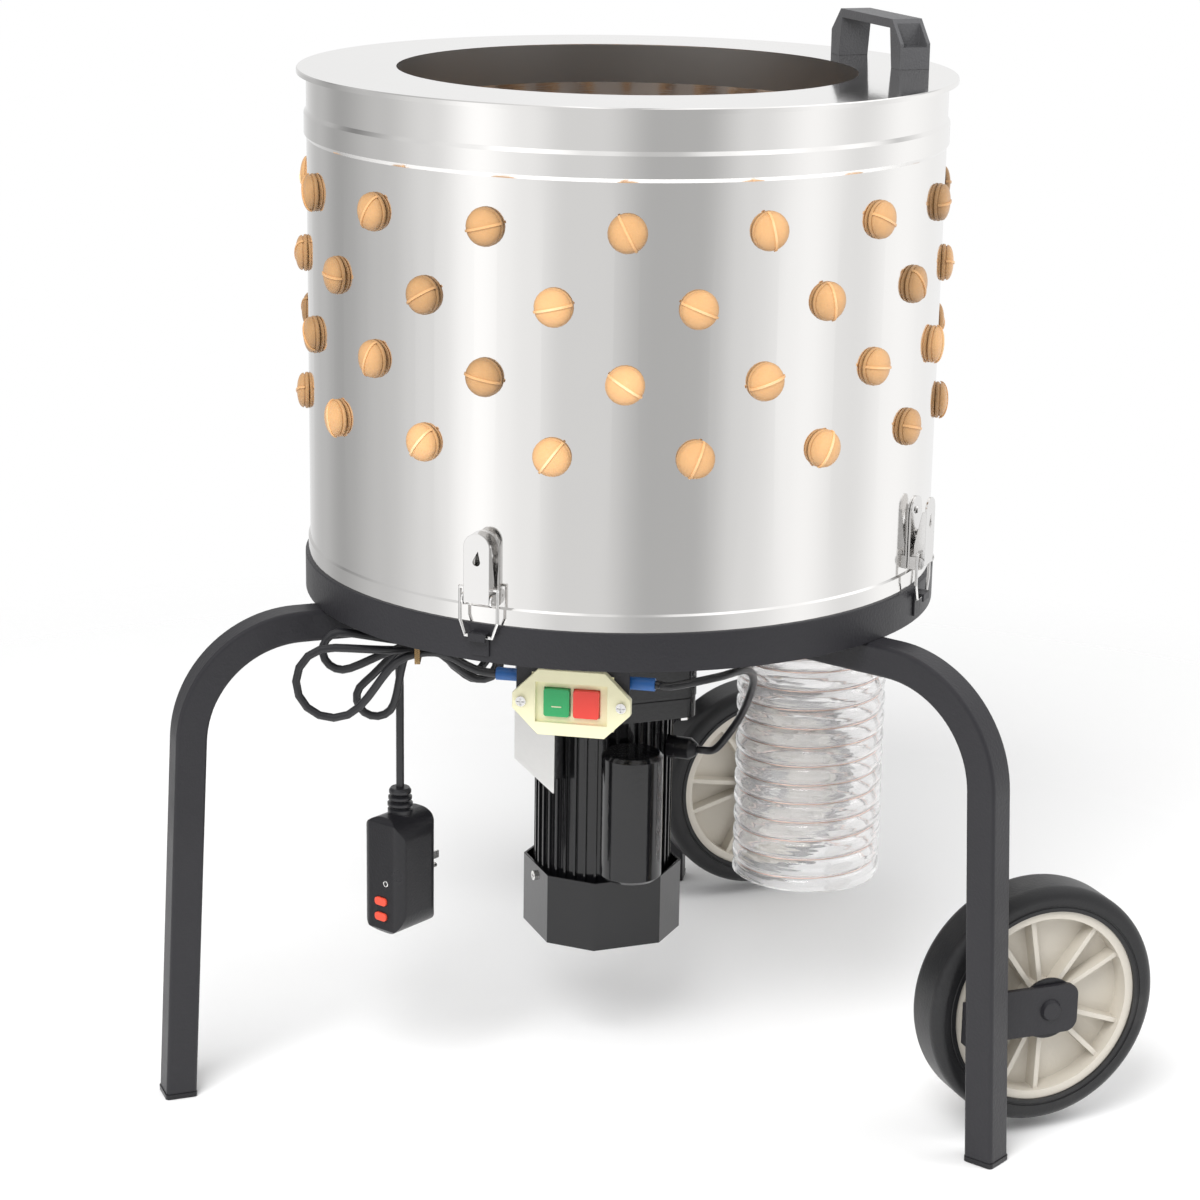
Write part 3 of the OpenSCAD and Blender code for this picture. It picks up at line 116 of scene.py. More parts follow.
class PluckerSizes(bpy.types.PropertyGroup):
    """Sizes of the pieces that are modelled here."""

    cord_d: length("Cord diameter", "Diameter of the mains cord and the motor cord", 6.5 * MM)
    layer: length("Cord layer", "Depth between one loop of the cord and the next", 8 * MM)
    tie_w: length("Tie width", "Width of the band round the cord's loops", 4 * MM)
    tie_t: length("Tie thickness", "Thickness of the band round the cord's loops", 1.3 * MM)
    hose_wall: length("Hose wall", "Thickness of the hose's clear film", 1.1 * MM)
    rib_pitch: length("Hose pitch", "Distance between two turns of the hose's wire", 16 * MM)
    rib_proud: length("Hose bulge", "How far the film stands out between two turns", 4.2 * MM)
    wire_d: length("Hose wire", "Diameter of the wire wound round the hose", 1.3 * MM)
    hose_cuff: length("Hose cuff", "Height of the hose's plain cuff under the pan", 26 * MM)
    head_d: length("Finger head", "Diameter of a finger's head", 29 * MM)
    head_h: length("Finger head height", "Height of a finger's head", 9.5 * MM)
    neck_d: length("Finger neck", "Diameter of a finger's neck in its hole", 18 * MM)
    wall_finger_l: length("Wall finger", "Length of a finger inside the drum", 95 * MM)
    plate_finger_l: length("Plate finger", "Length of a finger above the plate", 85 * MM)
    seam_w: length("Mould seam", "Width of the mould seam across a finger's head", 1.8 * MM)
    finger_ribs: count("Finger ribs", "Ribs along one finger", 6)
    row_fingers: count("Fingers in a row", "Fingers in each row of the drum wall", 15)


class PluckerColours(bpy.types.PropertyGroup):
    """Colours of the finishes, in linear light."""

    steel: colour("Drum steel", "Polished steel of the drum", (0.905, 0.893, 0.878))
    # Painted shade: this dark colour stands for the shade on the inner face of the mouth's collar.
    inside: colour("Dull steel", "Inner face of the mouth's collar", (0.33, 0.32, 0.31))
    nickel: colour("Latch metal", "Bright metal of latches and fasteners", (0.80, 0.79, 0.78))
    frame: colour("Frame paint", "Paint of the ring, legs and brackets", (0.0185, 0.018, 0.021))
    amber: colour("Finger rubber", "Middle tone of the fingers", (0.60, 0.34, 0.15))
    tyre: colour("Tyre rubber", "Tyres", (0.012, 0.012, 0.013))
    hub: colour("Hub plastic", "Wheel hubs", (0.60, 0.56, 0.49))
    grip: colour("Handle plastic", "Carry handle", (0.080, 0.080, 0.084))
    black: colour("Black plastic", "Plug, gland and caps", (0.0115, 0.0112, 0.0132))
    motor: colour("Motor paint", "Motor, cowl, gearbox and capacitor cover", (0.006, 0.006, 0.007))
    cream: colour("Switch plastic", "Switch plate and box", (0.95, 0.91, 0.62))
    green: colour("Start button", "Start button", (0.035, 0.42, 0.14))
    red: colour("Stop button", "Stop button", (0.90, 0.07, 0.05))
    signal: colour("Plug buttons", "Test and reset buttons of the plug", (0.80, 0.085, 0.045))
    blue: colour("Cable sleeves", "Sleeves of the switch", (0.02, 0.13, 0.42))
    film: colour("Hose film", "Clear film of the hose", (1.0, 0.995, 0.995))
    wire: colour("Hose wire", "Wire wound round the hose", (0.92, 0.68, 0.60))
    cord: colour("Cord sheath", "Mains cord and motor cord", (0.014, 0.014, 0.016))
    tie: colour("Tie", "Band round the cord's loops", (0.36, 0.23, 0.10))
    plate: colour("Blank plate", "Name plate, left blank", (0.86, 0.85, 0.83))


class PluckerStage(bpy.types.PropertyGroup):
    """Camera, light and floor."""

    photo_turn: angle("View azimuth", "Turn of the view about the upright axis", -21.5)
    yaw: angle("Camera yaw", "Turn of the camera away from the drum's axis", -0.35)
    pitch: angle("Camera pitch", "How far the camera looks down", 15.91)
    roll: angle("Camera roll", "Tilt of the camera about its view line", 0.91)
    lens: bpy.props.FloatProperty(
        name="Lens", description="Focal length for a 36 mm sensor", default=93.36, unit="CAMERA"
    )
    ambient: number("Ambient", "Strength of the soft light from all sides", 0.66)
    key: power("Key lamp", "Power of the main lamp", 98)
    fill: power("Fill lamp", "Power of the side lamp", 24)
    floor_r: length("Floor radius", "Radius of the pale floor", 1.5)


class Signal:
    """A shader socket that takes part in sums: each operator adds a Math node."""

    def __init__(self, graph, socket):
        self.graph = graph
        self.socket = socket

    def maths(self, operation, first, second):
        return self.graph.add("ShaderNodeMath", {"operation": operation}, {0: first, 1: second})

    def __add__(self, other):
        return self.maths("ADD", self, other)

    def __radd__(self, other):
        return self.maths("ADD", other, self)

    def __sub__(self, other):
        return self.maths("SUBTRACT", self, other)

    def __rsub__(self, other):
        return self.maths("SUBTRACT", other, self)

    def __mul__(self, other):
        return self.maths("MULTIPLY", self, other)

    def __rmul__(self, other):
        return self.maths("MULTIPLY", other, self)


class Graph:
    """A node tree that is built by one method."""

    def __init__(self, tree):
        self.tree = tree
        tree.nodes.clear()

    def add(self, kind, settings=None, sockets=None, output=0):
        """Adds a node, sets it up, feeds its sockets and returns one of its outputs."""
        node = self.tree.nodes.new(kind)
        for key, value in (settings or {}).items():
            if key == "stops":
                self.set_stops(node.color_ramp, value)
            else:
                setattr(node, key, value)
        for key, value in (sockets or {}).items():
            self.feed(node.inputs[key], value)
        return Signal(self, node.outputs[output]) if node.outputs else node

    def set_stops(self, ramp, stops):
        """Ramp stops as pairs of position and colour."""
        while len(ramp.elements) < len(stops):
            ramp.elements.new(0.5)
        for element, (position, shade) in zip(ramp.elements, stops):
            element.position = position
            element.color = (*shade, 1)

    def feed(self, socket, value):
        """Links a signal to a socket, or sets the socket's own value."""
        if isinstance(value, Signal):
            self.tree.links.new(value.socket, socket)
        elif socket.type == "RGBA" and len(value) == 3:
            socket.default_value = (*value, 1)
        else:
            socket.default_value = value

    def mix(self, factor, first, second):
        """Mix of two colours."""
        return self.add("ShaderNodeMix", {"data_type": "RGBA"}, {0: factor, 6: first, 7: second}, 2)

    def steps(self, signal, low, high):
        """Signal spread from the range low to high over 0 to 1, and held at both ends."""
        return self.add("ShaderNodeMapRange", {"clamp": True}, {0: signal, 1: low, 2: high, 3: 0.0, 4: 1.0})


class Finish(Graph):
    """One material with a Principled shader, on the object's own coordinates."""

    def __init__(self, name, constants):
        self.material = bpy.data.materials.new(LOOK + name)
        self.material.use_nodes = True
        super().__init__(self.material.node_tree)
        self.shader = self.tree.nodes.new("ShaderNodeBsdfPrincipled")
        output = self.tree.nodes.new("ShaderNodeOutputMaterial")
        self.tree.links.new(self.shader.outputs[0], output.inputs[0])
        for key, value in constants.items():
            self.feed(self.shader.inputs[key], value)
        self.place = self.add("ShaderNodeTexCoord", output="Object")

    def noise(self, scale, detail=3.0, stretch=(1, 1, 1)):
        """Noise over the object's coordinates, with one scale for each axis."""
        spot = self.add("ShaderNodeMapping", {}, {"Vector": self.place, "Scale": stretch})
        return self.add("ShaderNodeTexNoise", {}, {"Vector": spot, "Scale": scale, "Detail": detail})

    def paint(self, key, value):
        """Feeds one socket of the shader."""
        self.feed(self.shader.inputs[key], value)

    def relief(self, height, depth, edge=0.0):
        """Bump of a height signal with its depth in metres, over edges softened by a radius in metres."""
        sockets = {"Strength": 1.0, "Distance": depth, "Height": height}
        if edge:
            sockets["Normal"] = self.add("ShaderNodeBevel", {"samples": 6}, {"Radius": edge})
        self.paint("Normal", self.add("ShaderNodeBump", {}, sockets, "Normal"))

    def within_drum(self, reach, top):
        """1 for what lies nearer to the drum's axis than reach and lower than top, and 0 elsewhere."""
        split = self.add("ShaderNodeSeparateXYZ", {}, {0: self.place})
        x, y, z = (Signal(self, split.socket.node.outputs[i]) for i in range(3))
        x = x - DRUM_AXIS.x
        y = y - DRUM_AXIS.y
        away = self.add("ShaderNodeMath", {"operation": "SQRT"}, {0: x * x + y * y})
        fade = 0.2 * MM
        near = 1 - self.steps(away, reach - fade, reach)
        return near * (1 - self.steps(z, top - fade, top))


def shade(base, factor):
    """A colour made lighter or darker."""
    return tuple(min(1.0, part * factor) for part in base)


def grey(tone):
    """A colour without a hue."""
    return (tone, tone, tone)


def moulded(name, base, rough, grain, depth, mottle=0.12, extra=None, edge=0.8 * MM):
    """Plastic, paint or rubber: faint mottling, uneven gloss, a fine grain and soft edges."""
    finish = Finish(name, {"IOR": 1.5, **(extra or {})})
    cloud = finish.noise(9.0, 4.0)
    speck = finish.noise(grain, 2.0)
    finish.paint("Base Color", finish.mix(cloud, shade(base, 1 - mottle), shade(base, 1 + mottle)))
    finish.paint("Roughness", rough - 0.06 + 0.12 * finish.noise(40.0, 3.0))
    finish.relief(speck, depth, edge)
    return finish.material


def polished(name, base, rough, ripple, grain=(30, 30, 900), inside=None, edge=0.0):
    """Bright sheet metal: faint rolling lines, slight waves, hand marks, and a dull inside if it has one,
    whose dark colour on the mouth's collar is painted shade.
    """
    finish = Finish(name, {"Metallic": 1.0})
    marks = finish.noise(7.0, 5.0)
    lines = finish.noise(1.0, 2.0, grain)
    waves = finish.noise(3.2, 1.0)
    tint = finish.mix(marks, shade(base, 0.97), shade(base, 1.02))
    gloss = rough + 0.05 * marks + 0.03 * lines
    if inside:
        # The inside's colour: a duller steel on the drum's wall, and painted shade on the collar's inner
        # face.
        reach, top, dull_and_shade, haze = inside
        within = finish.within_drum(reach, top)
        tint = finish.mix(within, tint, dull_and_shade)
        gloss = gloss + 0.28 * within
        finish.paint("Metallic", 1 - haze * within)
    finish.paint("Base Color", tint)
    finish.paint("Roughness", gloss)
    finish.relief(waves * ripple + lines * 0.02, 0.001, edge)
    return finish.material


def finger_rubber(name, base):
    """Moulded rubber: each finger has its own tone, with clouds and fine specks in it, and painted highlight
    and shade on its head in the same tone.
    """
    depth = (6 * MM, 3 * MM, 1 * MM)
    finish = Finish(name, {"IOR": 1.5, "Subsurface Weight": 0.06, "Subsurface Radius": depth})
    tone = finish.add("ShaderNodeAttribute", {"attribute_name": "tone"}, {}, "Fac")
    cloud = finish.noise(60.0, 4.0)
    fine = finish.noise(700.0, 2.0)
    mixed = finish.steps(tone + 0.35 * cloud - 0.17 + 0.1 * fine - 0.05, 0.0, 1.4)
    ramp = [
        (0.0, shade(base, 0.55)),
        (0.35, shade(base, 0.95)),
        (0.7, tuple(1.28 * part + 0.015 for part in base)),
        (1.0, (0.92, 0.72, 0.42)),
    ]
    finish.paint("Base Color", finish.add("ShaderNodeValToRGB", {"stops": ramp}, {0: mixed}))
    finish.paint("Roughness", 0.26 + 0.2 * cloud)
    finish.relief(fine + 2.0 * cloud, 0.0002)
    return finish.material


def frame_paint(name, base):
    """Powder coat: satin, with the fine dimples of baked paint."""
    finish = Finish(name, {"IOR": 1.42})
    dimples = finish.noise(420.0, 2.0)
    wide = finish.noise(6.0, 3.0)
    finish.paint("Base Color", finish.mix(wide, shade(base, 0.85), shade(base, 1.2)))
    finish.paint("Roughness", 0.34 + 0.14 * finish.noise(30.0, 4.0))
    finish.relief(dimples, 0.00025, 0.8 * MM)
    return finish.material


def tyre_rubber(name, base):
    """Tyre: matt rubber with a dusty bloom on its tread and fine moulding marks."""
    finish = Finish(name, {"IOR": 1.44})
    dust = finish.steps(finish.noise(22.0, 6.0), 0.55, 0.85)
    finish.paint("Base Color", finish.mix(0.25 * dust, base, (0.11, 0.105, 0.10)))
    finish.paint("Roughness", 0.30 + 0.22 * finish.noise(14.0, 4.0))
    finish.relief(finish.noise(500.0, 2.0), 0.0002)
    return finish.material


def clear_film(name, base):
    """Hose film: clear, a little milky, with streaks drawn along its turns."""
    constants = {
        "Base Color": base,
        "IOR": 1.14,
        "Transmission Weight": 0.84,
        "Coat Weight": 1.0,
        "Coat IOR": 1.6,
        "Coat Roughness": 0.02,
    }
    finish = Finish(name, constants)
    streak = finish.noise(1.0, 1.0, (14, 14, 150))
    finish.paint("Roughness", 0.01 + 0.04 * streak)
    finish.relief(streak, 0.004)
    return finish.material


def woven_tie(name, base):
    """Tie: a narrow woven tape."""
    finish = Finish(name, {"Roughness": 0.85})
    threads = {"Vector": finish.place, "Scale": 420.0, "Distortion": 1.0}
    weave = finish.add("ShaderNodeTexWave", {"bands_direction": "DIAGONAL"}, threads)
    finish.paint("Base Color", finish.mix(weave, shade(base, 0.7), shade(base, 1.25)))
    finish.relief(weave, 0.0003)
    return finish.material


def brushed_plate(name, base):
    """Blank name plate: silver foil, brushed along its length."""
    finish = Finish(name, {"Metallic": 0.35})
    lines = finish.noise(1.0, 3.0, (60, 60, 2200))
    finish.paint("Base Color", finish.mix(lines, shade(base, 0.92), shade(base, 1.08)))
    finish.paint("Roughness", 0.32 + 0.14 * lines)
    finish.relief(lines, 0.00005)
    return finish.material


def finishes(colours):
    """All materials by name."""
    drum_inside = (DRUM_R - 0.8 * MM, DRUM_TOP, shade(colours.steel, 0.9), 0.7)
    # Collar's inner face: a dark colour as painted shade inside the mouth, and a rougher finish.
    collar_painted_shade = (0.8 * DRUM_R, DRUM_TOP + 1.0 * MM, colours.inside, 0.0)
    sheet = (200, 200, 200)
    drawn = (300, 300, 300)
    enamel = {"IOR": 1.42, "Coat Weight": 0.25, "Coat Roughness": 0.04}
    return {
        "drum_steel": polished("drum_steel", colours.steel, 0.045, 0.4, inside=drum_inside),
        "plate_steel": polished("plate_steel", colours.steel, 0.04, 0.25, sheet),
        "rim_steel": polished("rim_steel", colours.steel, 0.04, 0.25, sheet, collar_painted_shade),
        "bright_metal": polished("bright_metal", colours.nickel, 0.09, 0.6, drawn, edge=0.5 * MM),
        "frame_paint": frame_paint("frame_paint", colours.frame),
        "finger_rubber": finger_rubber("finger_rubber", colours.amber),
        "tyre_rubber": tyre_rubber("tyre_rubber", colours.tyre),
        "hub_plastic": moulded("hub_plastic", colours.hub, 0.42, 300.0, 0.0002, 0.05),
        "grip_plastic": moulded("grip_plastic", colours.grip, 0.44, 650.0, 0.0004),
        "black_plastic": moulded(
            "black_plastic", colours.black, 0.30, 520.0, 0.0002, extra={"IOR": 1.42}, edge=1.5 * MM
        ),
        "motor_paint": moulded("motor_paint", colours.motor, 0.16, 260.0, 0.00008, 0.2, enamel),
        "plate_blank": brushed_plate("plate_blank", colours.plate),
        "switch_cream": moulded("switch_cream", colours.cream, 0.34, 380.0, 0.00012, 0.03),
        "green_plastic": moulded("green_plastic", colours.green, 0.32, 380.0, 0.00012, 0.08),
        "red_plastic": moulded("red_plastic", colours.red, 0.32, 380.0, 0.00012, 0.05),
        "signal_plastic": moulded("signal_plastic", colours.signal, 0.36, 380.0, 0.00012, 0.08),
        "blue_plastic": moulded("blue_plastic", colours.blue, 0.36, 400.0, 0.00015, 0.1),
        "clear_hose": clear_film("clear_hose", colours.film),
        "hose_wire": polished("hose_wire", colours.wire, 0.26, 0.2, drawn),
        "cord_rubber": moulded("cord_rubber", colours.cord, 0.32, 600.0, 0.0002, 0.15),
        "tie_fabric": woven_tie("tie_fabric", colours.tie),
    }


def material(name):
    """A finish that the finishes operator has made."""
    return bpy.data.materials[LOOK + name]


def turned(v, degrees):
    """A vector turned about the upright axis."""
    return Matrix.Rotation(math.radians(degrees), 3, "Z") @ Vector(v)


def at_azimuth(degrees, radius, z):
    """Matrix of a place round the drum's axis, with X pointing outwards."""
    turn = Matrix.Rotation(math.radians(degrees), 4, "Z")
    return Matrix.Translation(DRUM_AXIS) @ turn @ Matrix.Translation((radius, 0, z))


def reach_of(node, way):
    """How far a node of the model reaches along a direction, from the foot of the drum's axis."""
    return max((v.co - DRUM_AXIS).dot(way) for v in frame["nodes"][node].data.vertices)


def middle_of(node, way):
    """Middle of a node of the model along a direction, from the foot of the drum's axis."""
    return (reach_of(node, way) - reach_of(node, -way)) / 2


def bezier(a, b, c, d, t):
    """Point of a cubic curve."""
    s = 1 - t
    return s**3 * a + 3 * t * s * s * b + 3 * t * t * s * c + t**3 * d


def settle(bm):
    """Closes the seams of a mesh and turns its faces outwards."""
    bmesh.ops.remove_doubles(bm, verts=bm.verts[:], dist=1e-6)
    bmesh.ops.recalc_face_normals(bm, faces=bm.faces[:])


def spun(profile, steps):
    """A profile of radius and height, turned once about the upright axis."""
    bm = bmesh.new()
    verts = [bm.verts.new((r, 0, z)) for r, z in profile]
    edges = [bm.edges.new(pair) for pair in zip(verts, verts[1:])]
    bmesh.ops.spin(
        bm, geom=verts + edges, cent=(0, 0, 0), axis=(0, 0, 1), angle=math.tau, steps=steps, use_merge=True
    )
    settle(bm)
    return bm


def wound(verts, edges, bm, turns, pitch):
    """Winds verts and edges about the upright axis, rising by one pitch each turn."""
    bmesh.ops.spin(
        bm,
        geom=verts + edges,
        cent=(0, 0, 0),
        axis=(0, 0, 1),
        dvec=(0, 0, pitch / TURN_STEPS),
        angle=math.tau * turns,
        steps=int(round(turns * TURN_STEPS)),
    )


def finished(name, bm, body, finish, sharp=35):
    """Makes a piece of a mesh: smooth faces with sharp creases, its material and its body."""
    mesh = bpy.data.meshes.new(name)
    bm.to_mesh(mesh)
    bm.free()
    mesh.polygons.foreach_set("use_smooth", [True] * len(mesh.polygons))
    mesh.set_sharp_from_angle(angle=math.radians(sharp))
    mesh.materials.append(material(finish))
    piece = bpy.data.objects.new(name, mesh)
    bpy.context.scene.collection.objects.link(piece)
    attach(piece, body)
    return piece


def tube(name, points, diameter, body, slot):
    """A cord: a round curve along points."""
    curve = bpy.data.curves.new(name, "CURVE")
    curve.dimensions = "3D"
    curve.bevel_depth = diameter / 2
    curve.bevel_resolution = 4
    curve.use_fill_caps = True
    spline = curve.splines.new("POLY")
    spline.points.add(len(points) - 1)
    for spot, point in zip(spline.points, points):
        spot.co = (*point, 1)
    spline.use_smooth = True
    curve.materials.append(material(slot))
    piece = bpy.data.objects.new(name, curve)
    bpy.context.scene.collection.objects.link(piece)
    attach(piece, body)
    return piece


def run_length(points):
    """Length along points."""
    return sum((b - a).length for a, b in zip(points, points[1:]))


SWITCH_AZ = -122
PLUG_AZ = -150
TIE_AZ = -21.5
SLEEVE = Vector((173, 62, RING_FOOT / MM - 32)) * MM
TIE_AT = Vector((-195, -76, RING_FOOT / MM - 18)) * MM
# Each loop of the mains cord: its way in degrees, and its reach and end radius in millimetres.
LOOPS = [(202, 100, 28), (-12, 64, 15), (186, 76, 15), (-18, 62, 15), (234, 76, 15), (-22, 54, 15)]


def sleeve_end(side):
    """Outer end of one cable sleeve of the switch, from the drum's axis."""
    return turned((SLEEVE.x, side * SLEEVE.y, SLEEVE.z), SWITCH_AZ)


def plane_way(degrees):
    """Direction in the upright plane of the cord's loops."""
    return Vector((math.cos(math.radians(degrees)), 0, math.sin(math.radians(degrees))))


class CordRoute:
    """Route of the mains cord, in the plane of its loops: from the switch, through the tie, and down."""

    def __init__(self, layer):
        self.layer = layer
        self.entry = turned(sleeve_end(-1) - TIE_AT, -TIE_AZ)
        self.entry_way = turned(turned((0, -1, 0), SWITCH_AZ), -TIE_AZ)

    def slot(self, k):
        """Place of a strand in the tie: each loop lies one layer behind the last."""
        lead_in = -14 * MM
        front = -2 * MM
        return Vector((0, lead_in if k == 0 else front + (k - 1) * self.layer, 0))

    def heading(self, k):
        """Way of the strand through the tie."""
        came = Vector((self.entry_way.x, 0, self.entry_way.z)) if k == 0 else -plane_way(LOOPS[k - 1][0])
        goes = Vector((0, 0, -0.3)) if k == len(LOOPS) else plane_way(LOOPS[k][0])
        return (came + goes).normalized()

    def side(self, k):
        """Side of the loop that the strand goes out on."""
        back = -self.heading(k + 1)
        ahead = self.heading(k)
        return 1 if math.sin(math.atan2(back.z, back.x) - math.atan2(ahead.z, ahead.x)) > 0 else -1

    def loop(self, k, t):
        """Point of one loop: a strand out, a round end and a strand back."""
        way, reach, round_r = LOOPS[k]
        reach *= MM
        round_r *= MM
        strand = 0.3
        first, last = self.slot(k), self.slot(k + 1)
        rise = last - first
        side = self.side(k)
        spread = math.degrees(math.asin(round_r / (reach - round_r)))
        middle = first + rise / 2 + (reach - round_r) * plane_way(way)

        def round_end(q):
            return middle + round_r * plane_way(way + side * (90 + spread) * q) + 0.15 * q * rise

        pull = 0.25 * reach
        if t < strand:
            end = round_end(-1)
            near = first + pull * self.heading(k) + 0.08 * rise
            far = end - pull * plane_way(way - side * spread) - 0.05 * rise
            return bezier(first, near, far, end, t / strand)
        if t <= 1 - strand:
            return round_end((2 * t - 1) / (1 - 2 * strand))
        end = round_end(1)
        near = end - pull * plane_way(way + side * spread) + 0.05 * rise
        far = last - pull * self.heading(k + 1) - 0.08 * rise
        return bezier(end, near, far, last, (t - 1 + strand) / strand)

    def points(self, rings, relief_z):
        """Points of the whole cord in the part's frame, down to the strain relief's height."""
        start = self.slot(0)
        lead = (self.entry + 3 * MM * self.entry_way, self.entry + 30 * MM * self.entry_way)
        route = [self.entry]
        half = rings // 2
        for i in range(half):
            route.append(bezier(*lead, start - 30 * MM * self.heading(0), start, i / half))
        for k in range(len(LOOPS)):
            for i in range(rings):
                route.append(self.loop(k, i / rings))
        end = self.slot(len(LOOPS))
        leave = end + 24 * MM * self.heading(len(LOOPS))
        hang = end + Vector((-18, 5, -50)) * MM
        up = Vector((0, 0, MM))
        for i in range(half + 1):
            route.append(bezier(end, leave, hang + 30 * up, hang + 3 * up, i / half))
        route.append(hang)
        placed = [turned(p, TIE_AZ) + TIE_AT + DRUM_AXIS for p in route]
        low = placed[-1].copy()
        drop_steps = 5
        for i in range(1, drop_steps + 1):
            placed.append(Vector((low.x, low.y, low.z + (relief_z - low.z) * i / drop_steps)))
        return placed


class PLUCKER_OT_finishes(bpy.types.Operator):
    """Makes every finish and gives it to the nodes of the model."""

    bl_idname = "plucker.finishes"
    bl_label = "Finishes"

    def execute(self, context):
        made = finishes(context.scene.plucker_colours)
        special = {
            "test_button": "signal_plastic",
            "reset_button": "signal_plastic",
            "top_plate": "rim_steel",
            "capacitor_cover": "motor_paint",
        }
        by_node = {part["node"]: part["material_slot"] for part in frame["record"]["subparts"]}
        by_node.update(special)
        for name, node in frame["nodes"].items():
            node.data.materials.clear()
            node.data.materials.append(made[by_node[name]])
        return {"FINISHED"}


class PLUCKER_OT_camera(bpy.types.Operator):
    """Puts up the camera at the photograph's view."""

    bl_idname = "plucker.camera"
    bl_label = "Camera"

    def execute(self, context):
        stage = context.scene.plucker_stage
        ahead = Vector(
            (
                math.sin(stage.yaw) * math.cos(stage.pitch),
                math.cos(stage.yaw) * math.cos(stage.pitch),
                -math.sin(stage.pitch),
            )
        )
        level = Vector((math.cos(stage.yaw), -math.sin(stage.yaw), 0))
        upright = level.cross(ahead)
        right = math.cos(stage.roll) * level + math.sin(stage.roll) * upright
        up = -math.sin(stage.roll) * level + math.cos(stage.roll) * upright
        pose = Matrix((right, up, -ahead)).transposed()
        pose = Matrix.Rotation(stage.photo_turn, 3, "Z") @ pose
        data = bpy.data.cameras.new("view")
        data.sensor_fit = "HORIZONTAL"
        data.sensor_width = 36
        data.lens = stage.lens
        camera = bpy.data.objects.new("view", data)
        context.scene.collection.objects.link(camera)
        camera.matrix_world = Matrix.Translation(CAMERA_AT) @ pose.to_4x4()
        context.scene.camera = camera
        return {"FINISHED"}


class PLUCKER_OT_stage(bpy.types.Operator):
    """Puts up the pale floor, the soft light from all sides and two lamps."""

    bl_idname = "plucker.stage"
    bl_label = "Stage"

    def execute(self, context):
        stage = context.scene.plucker_stage
        context.scene.view_settings.view_transform = "Standard"
        self.light_world(context, stage)
        self.lay_floor(context, stage)
        self.hang_lamp(context, "key", stage.key, size=1.8, place=(-1.5, -1.7, 2.6))
        self.hang_lamp(context, "fill", stage.fill, size=1.6, place=(1.9, -1.0, 1.7))
        return {"FINISHED"}

    def light_world(self, context, stage):
        """White to the camera, soft grey bands to polished metal, and even light to the rest."""
        world = bpy.data.worlds.new("studio")
        world.use_nodes = True
        context.scene.world = world
        graph = Graph(world.node_tree)
        way = graph.add("ShaderNodeTexCoord", output="Generated")
        split = graph.add("ShaderNodeSeparateXYZ", {}, {0: way})
        x, y, z = (Signal(graph, split.socket.node.outputs[i]) for i in range(3))
        band_start = 0.8097
        around = graph.add("ShaderNodeMath", {"operation": "ARCTAN2"}, {0: y, 1: x})
        around = around * (1 / math.tau) + band_start
        around = graph.add("ShaderNodeMath", {"operation": "FRACT"}, {0: around})
        tones = [(0.0, 0.90), (0.11, 0.52), (0.16, 0.39), (0.235, 0.56), (0.30, 0.77), (0.355, 1.12)]
        tones += [(0.405, 0.90), (0.445, 0.71), (0.475, 0.71), (0.53, 0.46), (0.57, 0.47), (0.625, 0.77)]
        tones += [(0.69, 1.02), (0.75, 0.82), (0.82, 1.03), (0.905, 0.93), (1.0, 0.90)]
        bands = [(position, grey(tone)) for position, tone in tones]
        banded = graph.add("ShaderNodeValToRGB", {"stops": bands}, {0: around})
        banded.socket.node.color_ramp.interpolation = "EASE"
        level = 0.62
        heights = [(0.0, level), (0.655, level), (0.72, 0.38), (0.80, 0.80), (0.95, 0.80), (1.0, 0.7)]
        heights = [(position, grey(tone)) for position, tone in heights]
        lifted = graph.add("ShaderNodeValToRGB", {"stops": heights}, {0: z * 0.5 + 0.5})
        banded = graph.add("ShaderNodeVectorMath", {"operation": "MULTIPLY"}, {0: banded, 1: lifted})
        banded = graph.add("ShaderNodeVectorMath", {"operation": "SCALE"}, {0: banded, "Scale": 1 / level})
        path = graph.add("ShaderNodeLightPath", output="Is Camera Ray")
        rays = path.socket.node.outputs
        glossy = Signal(graph, rays["Is Glossy Ray"])
        clear = Signal(graph, rays["Is Transmission Ray"])
        shown = graph.mix(glossy, grey(stage.ambient), banded)
        shown = graph.mix(clear, shown, grey(1.25))
        shown = graph.mix(path, shown, grey(1.0))
        light = graph.add("ShaderNodeBackground", {}, {"Color": shown, "Strength": 1.0})
        graph.add("ShaderNodeOutputWorld", {}, {"Surface": light})

    def lay_floor(self, context, stage):
        """Pale round floor that keeps the shadow and fades out at its rim."""
        bm = bmesh.new()
        bmesh.ops.create_circle(bm, cap_ends=True, segments=96, radius=stage.floor_r)
        bmesh.ops.translate(bm, verts=bm.verts[:], vec=(0, 0, -0.5 * MM))
        mesh = bpy.data.meshes.new("floor")
        bm.to_mesh(mesh)
        bm.free()
        finish = Finish("floor", {"Roughness": 0.9, "Specular IOR Level": 0.1, "Base Color": grey(0.93)})
        away = finish.add("ShaderNodeVectorMath", {"operation": "LENGTH"}, {0: finish.place}, "Value")
        finish.paint("Alpha", 1 - finish.steps(away, 0.55 * stage.floor_r, stage.floor_r))
        mesh.materials.append(finish.material)
        floor = bpy.data.objects.new("floor", mesh)
        context.scene.collection.objects.link(floor)

    def hang_lamp(self, context, name, power, size, place):
        """A square soft lamp that looks at the middle of the machine."""
        data = bpy.data.lights.new(name, "AREA")
        data.energy = power
        data.size = size
        lamp = bpy.data.objects.new(name, data)
        context.scene.collection.objects.link(lamp)
        lamp.location = place
        middle = Vector((0, 0, 0.45))
        aim = middle - lamp.location
        lamp.rotation_euler = aim.to_track_quat("-Z", "Y").to_euler()
        lamp.visible_glossy = False


